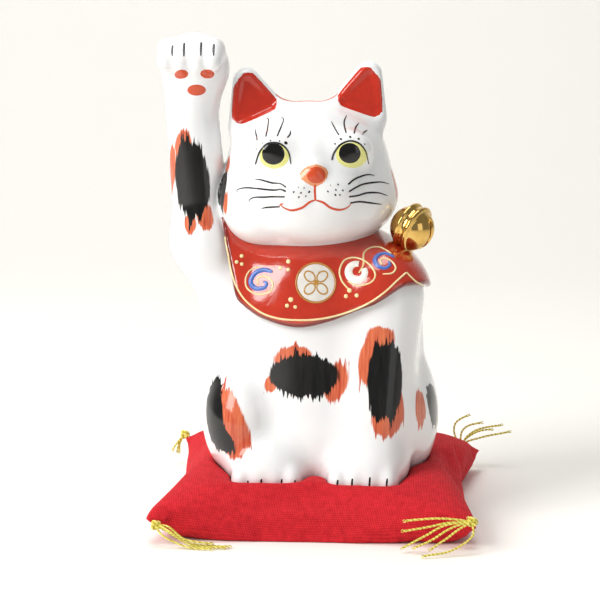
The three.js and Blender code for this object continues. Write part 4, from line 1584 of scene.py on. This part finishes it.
@dataclass
class Cushion:
    """A square stuffed cushion, pressed down under the figurine.

    Attributes:
        cat: The form that presses into it.
        half: Half its width before it swells, in millimetres.
        crest: Height of its crest.
        seam: Height of its seam.
        steps: Grid steps across it.
    """

    cat: Porcelain
    half: float = 61.0
    crest: float = 18.6
    seam: float = 10.0
    steps: int = 56

    def puff(self, u: Array, v: Array) -> Array:
        """How full it is, from 0 at the seam to 1 in the middle."""
        return np.maximum((1 - np.abs(u) ** 3.4) * (1 - np.abs(v) ** 3.4), 0) ** 0.42

    def plan(self, u: Array, v: Array) -> tuple[Array, Array]:
        """Lays out the plan, with sides pulled in between the corners."""
        x = self.half * u * (1 - 0.035 * u * u * (1 - v * v))
        return x, self.half * v * (1 - 0.035 * v * v * (1 - u * u))

    def underside(self, x: Array, y: Array) -> Array:
        """Lowest point of the figurine over each spot.

        Args:
            x: First coordinates.
            y: Second coordinates.

        Returns:
            Heights, or 99 where nothing is overhead.
        """
        low = np.full(x.shape, 99.0)
        for z in np.arange(34.0, LIFT + 8.9, -0.5):
            near = self.cat.whole(np.stack([x, y, np.full(x.shape, z - LIFT)], -1)) < 1.0
            low = np.where(near, z, low)
        return low

    def pillow(self) -> Skin:
        """Sews two sheets together round their edge.

        Returns:
            The closed form.
        """
        n = self.steps
        s = np.sin(np.linspace(-0.5, 0.5, n + 1) * math.pi * 0.86) / math.sin(math.pi * 0.43)
        u, v = np.meshgrid(s, s, indexing="ij")
        x, y = self.plan(u, v)
        full = self.puff(u, v)
        low = self.underside(x, y)
        top = np.minimum(self.seam + (self.crest - self.seam) * full, low - 0.6)
        bottom = np.maximum(self.seam - 13 * full, 0.25)
        # The corners curl by different amounts.
        east, north = (1 + u) / 2, (1 + v) / 2
        curl = 0.8 * (1 - east) * (1 - north) + 1.6 * east * (1 - north)
        curl = (curl - 1.2 * east * north + 3.6 * (1 - east) * north) * np.abs(u * v) ** 3
        top, bottom = top + curl, bottom + curl
        # The tassels draw the corners out.
        drawn = np.abs(u * v) ** 4
        x = x + drawn * (1.2 * u - 1.6 * (1 - east) * (1 - north))
        y = y + drawn * 1.4 * v
        upper = np.stack([x, y, top], -1).reshape(-1, 3)
        lower = np.stack([x, y, bottom], -1).reshape(-1, 3)
        number = np.arange((n + 1) ** 2).reshape(n + 1, n + 1)
        under = number + (n + 1) ** 2
        edge = np.zeros_like(number, bool)
        edge[[0, -1], :] = edge[:, [0, -1]] = True
        under[edge] = number[edge]
        quads = [
            np.stack([g[:-1, :-1], g[1:, :-1], g[1:, 1:], g[:-1, 1:]], -1).reshape(-1, 4)[:, ::way]
            for g, way in ((number, 1), (under, -1))
        ]
        return Skin(np.vstack([upper, lower]), np.vstack(quads))

    def swell(self, piece: bpy.types.Object, cap_mm: float = 4.0) -> None:
        """Fills the cloth with pressure and keeps its creases.

        Args:
            piece: The cushion.
            cap_mm: How far a point may move, in millimetres.
        """
        mesh = piece.data
        rest = np.zeros(len(mesh.vertices) * 3)
        mesh.vertices.foreach_get("co", rest)
        rest = rest.reshape(-1, 3)
        cloth = piece.modifiers.new("pressure", "CLOTH")
        settings = cloth.settings
        settings.quality = 6
        settings.mass = 0.2
        settings.use_pressure = True
        settings.uniform_pressure_force = 3.5
        settings.effector_weights.gravity = 0.0
        settings.shrink_min = -0.035
        settings.bending_stiffness = 0.4
        cloth.point_cache.frame_start, cloth.point_cache.frame_end = 1, 20
        for step in range(1, 21):
            bpy.context.scene.frame_set(step)
        graph = bpy.context.evaluated_depsgraph_get()
        blown = np.zeros(len(mesh.vertices) * 3)
        piece.evaluated_get(graph).data.vertices.foreach_get("co", blown)
        piece.modifiers.remove(cloth)
        bpy.context.scene.frame_set(1)
        move = (blown.reshape(-1, 3) - rest) / MM
        length = np.linalg.norm(move, axis=1, keepdims=True)
        move *= np.minimum(1, cap_mm / np.maximum(length, 1e-9))
        mesh.vertices.foreach_set("co", (rest + move * MM).reshape(-1))
        mesh.update()

    def seat(self, piece: bpy.types.Object) -> None:
        """Presses the figurine into the cushion and lays the cushion on the table.

        Args:
            piece: The cushion.
        """
        p = np.zeros(len(piece.data.vertices) * 3)
        piece.data.vertices.foreach_get("co", p)
        p = p.reshape(-1, 3) / MM
        for _ in range(4):
            value, grad = slope_of(self.cat.whole, p - (0, 0, LIFT))
            push = np.maximum(0.5 - value, 0) * (p[:, 2] > 2.0)
            away = grad / np.maximum(np.linalg.norm(grad, axis=1, keepdims=True), 0.3)
            p = p + away * np.minimum(push, 3.0)[:, None]
        soft = 0.6
        p[:, 2] = 0.15 + 0.5 * ((p[:, 2] - 0.15) + np.sqrt((p[:, 2] - 0.15) ** 2 + soft**2)) - 0.02
        p[:, 2] = np.maximum(p[:, 2], 0.05)
        piece.data.vertices.foreach_set("co", (p * MM).reshape(-1))
        piece.data.update()

    def build(self) -> None:
        """Sews, fills, seats and dresses the cushion."""
        piece = self.pillow().to_object("red_cushion")
        remesh = piece.modifiers.new("even", "REMESH")
        remesh.mode = "VOXEL"
        remesh.voxel_size = 0.0032
        piece.data = apply_modifiers(piece)
        self.swell(piece)
        smooth = piece.modifiers.new("fine", "SUBSURF")
        smooth.levels = smooth.render_levels = 1
        piece.data = apply_modifiers(piece)
        self.seat(piece)
        piece.data.polygons.foreach_set("use_smooth", np.ones(len(piece.data.polygons), bool))
        piece.data.materials.clear()
        piece.data.materials.append(PlainWeaveCotton().make())
        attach(piece, "cushion")
        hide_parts("cushion_top_panel", "cushion_bottom_panel", "cushion_filling")
        LOG.info("red_cushion: %d faces", len(piece.data.polygons))


def apply_modifiers(piece: bpy.types.Object) -> bpy.types.Mesh:
    """Makes a mesh of an object as its modifiers leave it, and clears them.

    Args:
        piece: The object.

    Returns:
        The new mesh.
    """
    graph = bpy.context.evaluated_depsgraph_get()
    mesh = bpy.data.meshes.new_from_object(piece.evaluated_get(graph))
    piece.modifiers.clear()
    return mesh


@dataclass(frozen=True)
class Tuft:
    """One corner's knot and thread ends, in millimetres."""

    corner: str
    knot: Point3
    ends: tuple[tuple[Point3, ...], ...]


TUFTS = (
    Tuft("front_left", (-58, -64.5, 8), (
        ((-54, -65.6, 6.2), (-45, -66, 1.6), (-29.5, -66.2, 0.7)),
        ((-53, -66.4, 6.6), (-44, -67.4, 1.2), (-31, -67.8, 0.7)),
        ((-55, -66.8, 4.6), (-46, -68.4, 0.9), (-36, -69.2, 0.7)),
        ((-53, -65.4, 7.6), (-46.5, -66.6, 3.2), (-36, -66.8, 1.9)),
    )),
    Tuft("front_right", (59.5, -64.5, 11.7), (
        ((50, -65, 12.8), (41, -65, 12.4), (34, -65, 11.2)), ((50, -65.4, 11.2), (42, -65.6, 9.2),
         (33.4, -65.6, 7.8)),
        ((50, -66, 10.6), (42.5, -66.4, 6.6), (33.4, -67, 1.4)),
        ((52, -66.6, 9.8), (45, -67.4, 5.4), (37.6, -68.6, 1.8)),
        ((54, -67.2, 9), (49.5, -68.8, 5.6), (43.6, -69.8, 1.8)),
        ((59.5, -68, 7), (52, -70.5, 2.2), (41, -74, 0.7)),
    )),
    Tuft("back_right", (54, 66, 9), (
        ((51.4, 66.6, 14.4), (52.4, 67, 19), (58.1, 67.4, 22)),
        ((54.6, 67.4, 14.6), (58.1, 68, 17.4), (63.6, 68.4, 18.6)),
        ((57.6, 66.8, 13.4), (62.4, 67.4, 16.1), (72, 68, 17.8)),
        ((57, 68.2, 12), (62, 69.2, 14.6), (68, 69.6, 15.2)),
        ((57.6, 66.2, 11), (65, 66.6, 13), (75.4, 67, 15.2)),
    )),
    Tuft("back_left", (-62.6, 63.4, 12.4), (
        ((-64.8, 63.6, 9.6), (-65.6, 63.6, 6.8), (-66.0, 63, 4.2)),
        ((-65.4, 62.8, 9.4), (-67.0, 62, 7.0), (-67.8, 61.4, 5.2)),
        ((-64.6, 64.8, 8.8), (-65.2, 65.4, 6.0), (-65.2, 65.8, 3.2)),
    )),
)


@dataclass
class Tassels:
    """Knotted embroidery thread at the four corners.

    Attributes:
        ply: Radius of one ply, in millimetres.
        twist: Length of one turn of the twist.
        sides: Facets round a ply.
    """

    ply: float = 0.26
    twist: float = 2.6
    sides: int = 6

    def tube(self, line: Array, radius: Array) -> tuple[Array, Array]:
        """Makes a round tube with closed ends.

        Args:
            line: Its centre line.
            radius: Its radius at each point.

        Returns:
            Its points and faces.
        """
        along = np.gradient(line, axis=0)
        along /= np.linalg.norm(along, axis=1, keepdims=True)
        side = np.zeros_like(line)
        side[0] = np.cross(along[0], (0.3, 0.2, 0.93))
        for k in range(len(line)):
            if k:
                side[k] = side[k - 1] - along[k] * (side[k - 1] @ along[k])
            side[k] /= np.linalg.norm(side[k])
        other = np.cross(along, side)
        turn = np.arange(self.sides) / self.sides * 2 * math.pi
        ring = side[:, None] * np.cos(turn)[:, None] + other[:, None] * np.sin(turn)[:, None]
        points = (line[:, None] + ring * radius[:, None, None]).reshape(-1, 3)
        i, k = np.meshgrid(np.arange(len(line) - 1), np.arange(self.sides), indexing="ij")
        a, b = i * self.sides + k, i * self.sides + (k + 1) % self.sides
        quads = np.stack([a, b, b + self.sides, a + self.sides], -1).reshape(-1, 4)
        last = (len(line) - 1) * self.sides
        caps = []
        for base, way in ((0, -1), (last, 1)):
            for k in range(1, self.sides - 1, 2):
                caps.append([base, base + k, base + k + 1, base + (k + 2) % self.sides][::way])
        return points, np.vstack([quads, caps])

    def plies(self, line: Array, phase: float) -> list[tuple[Array, Array]]:
        """Twists two plies round a line and lets them fray at the end.

        Args:
            line: The thread's centre line.
            phase: Where the twist starts, in radians.

        Returns:
            The points and faces of each ply.
        """
        step = np.linalg.norm(np.diff(line, axis=0), axis=1)
        run = np.concatenate([[0], np.cumsum(step)])
        along = np.gradient(line, axis=0)
        along /= np.linalg.norm(along, axis=1, keepdims=True)
        side = np.cross(along, (0.0, 0.0, 1.0))
        side /= np.maximum(np.linalg.norm(side, axis=1, keepdims=True), 1e-6)
        other = np.cross(side, along)
        left = run[-1] - run
        fray = 1 + 1.6 * np.clip(1 - left / 3.5, 0, 1) ** 2
        slim = self.ply * (1 - 0.45 * np.clip(1 - left / 1.5, 0, 1))
        found = []
        for half in (0, math.pi):
            turn = run / self.twist * 2 * math.pi + phase + half
            spread = self.ply * 0.85 * fray
            p = line + (side * np.cos(turn)[:, None] + other * np.sin(turn)[:, None]) * spread[:, None]
            p[:, 2] = np.maximum(p[:, 2], self.ply + 0.05)
            found.append(self.tube(p, slim))
        return found

    def stitch(self, at: Sequence[float]) -> list[Point3]:
        """Leads the thread from a knot back into its corner."""
        x, y, z = at
        return [(x * 0.995, y * 0.965, z + 0.5), (x * 0.97, y * 0.92, z + 0.2)]

    def knot(self, at: Sequence[float]) -> list[tuple[Array, Array]]:
        """Ties an overhand knot.

        Args:
            at: Its centre.

        Returns:
            The points and faces of its two plies and core.
        """
        t = np.linspace(0, 2 * math.pi, 61)
        swing = 1.05 + 0.5 * np.cos(3 * t)
        loop = np.stack([swing * np.cos(2 * t), 0.75 * np.sin(3 * t), swing * np.sin(2 * t)], -1)
        loop = loop + np.array(at)
        return [self.tube(loop, np.full(len(loop), 0.62))]

    def build(self) -> None:
        """Makes one piece for each corner."""
        material = EmbroideryThread().make()
        for number, tuft in enumerate(TUFTS):
            parts = self.knot(tuft.knot)
            parts += self.plies(smooth_line([tuft.knot, *self.stitch(tuft.knot)], STROKE_STEP), 0.0)
            for k, end in enumerate(tuft.ends):
                marks = smooth_line([tuft.knot, *end], STROKE_STEP)
                share = np.linspace(0, 1, len(marks))
                sway = 0.35 * np.sin(share * 7 + k * 2.1 + number) * share
                marks[:, 2] += np.abs(sway) * 0.5
                marks[:, 1] += sway
                parts += self.plies(marks, k * 1.3)
            count, points, faces = 0, [], []
            for p, f in parts:
                points.append(p)
                faces.append(f + count)
                count += len(p)
            piece = Skin(np.vstack(points), np.vstack(faces)).to_object(f"thread_tassel_{tuft.corner}")
            piece.data.materials.append(material)
            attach(piece, "cushion")
            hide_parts(f"tassel_{tuft.corner}")
            LOG.info("%s: %d faces", piece.name, len(piece.data.polygons))


# ---- Studio ------------------------------------------------------------------------------------------


@dataclass
class Studio:
    """Paper sweep, soft lights and camera.

    Attributes:
        eye: Where the camera stands, in metres.
        aim: What it looks at.
        lens: Focal length in millimetres.
    """

    eye: Point3 = (0.0597, -0.9228, 0.2475)
    aim: Point3 = (-0.0089, 0.0, 0.0823)
    lens: float = 144.0

    def sweep(self) -> None:
        """Lays a curved sheet of paper under and behind the object."""
        mesh = bmesh.new()
        profile = [(-4.5, 0.0), (0.55, 0.0)]
        bend = np.linspace(0.1, math.pi / 2, 12)
        profile += [(0.55 + 0.45 * math.sin(a), 0.45 - 0.45 * math.cos(a)) for a in bend]
        profile += [(1.0, 1.6)]
        rows = [[mesh.verts.new((x, y, z - 0.0001)) for y, z in profile] for x in (-4.5, -1.5, 1.5, 4.5)]
        for a, b in zip(rows, rows[1:]):
            for k in range(len(profile) - 1):
                mesh.faces.new((a[k], b[k], b[k + 1], a[k + 1])).smooth = True
        data = bpy.data.meshes.new("paper_sweep")
        mesh.to_mesh(data)
        mesh.free()
        sheet = bpy.data.objects.new("paper_sweep", data)
        bpy.context.scene.collection.objects.link(sheet)
        data.materials.append(StudioPaper().make())

    def softbox(
        self, name: str, at: Point3, size: tuple[float, float], watts: float, tint: str
    ) -> None:
        """Hangs a soft light that faces the object.

        Args:
            name: Its name.
            at: Where it hangs, in metres.
            size: Its width and height.
            watts: Its power.
            tint: Its colour, as sRGB hex.
        """
        lamp = bpy.data.lights.new(name, "AREA")
        lamp.shape = "RECTANGLE"
        lamp.size, lamp.size_y = size
        lamp.energy = watts
        lamp.color = linear(tint)[:3]
        holder = bpy.data.objects.new(name, lamp)
        holder.location = at
        holder.rotation_euler = (Vector((0, 0, 0.09)) - Vector(at)).to_track_quat("-Z", "Y").to_euler()
        bpy.context.scene.collection.objects.link(holder)

    def build(self) -> None:
        """Sets up paper, lights, world and camera."""
        self.sweep()
        self.softbox("key_softbox", (-0.80, -0.62, 0.75), (0.6, 0.7), 12.5, "FFFDFB")
        self.softbox("fill_softbox", (0.85, -0.85, 0.35), (0.5, 0.7), 1.0, "FBFAFA")
        self.softbox("top_softbox", (-0.15, 0.1, 1.15), (0.8, 0.6), 6.5, "FFFEFB")
        world = bpy.data.worlds.new("studio_room")
        world.use_nodes = True
        world.node_tree.nodes["Background"].inputs[0].default_value = linear("EDEEEE")
        world.node_tree.nodes["Background"].inputs[1].default_value = 0.3
        bpy.context.scene.world = world
        lens = bpy.data.cameras.new("camera")
        lens.lens, lens.sensor_width = self.lens, 36.0
        lens.clip_start, lens.clip_end = 0.05, 20.0
        camera = bpy.data.objects.new("camera", lens)
        camera.location = self.eye
        camera.rotation_euler = (Vector(self.aim) - Vector(self.eye)).to_track_quat("-Z", "Y").to_euler()
        bpy.context.scene.collection.objects.link(camera)
        bpy.context.scene.camera = camera
        bpy.context.scene.view_settings.view_transform = "Standard"


def main() -> None:
    """Builds the studio and every piece."""
    logging.basicConfig(level=logging.INFO, format="%(name)s: %(message)s")
    porcelain = Porcelain()
    bib = BibForm(porcelain)
    coarse = 1.0
    Studio().build()
    PaintedCat(porcelain, coarse).build()
    PaintedBib(bib, coarse * 0.9).build()
    Bell(bib).build()
    Cushion(porcelain).build()
    Tassels().build()


if __name__ == "__main__":
    main()
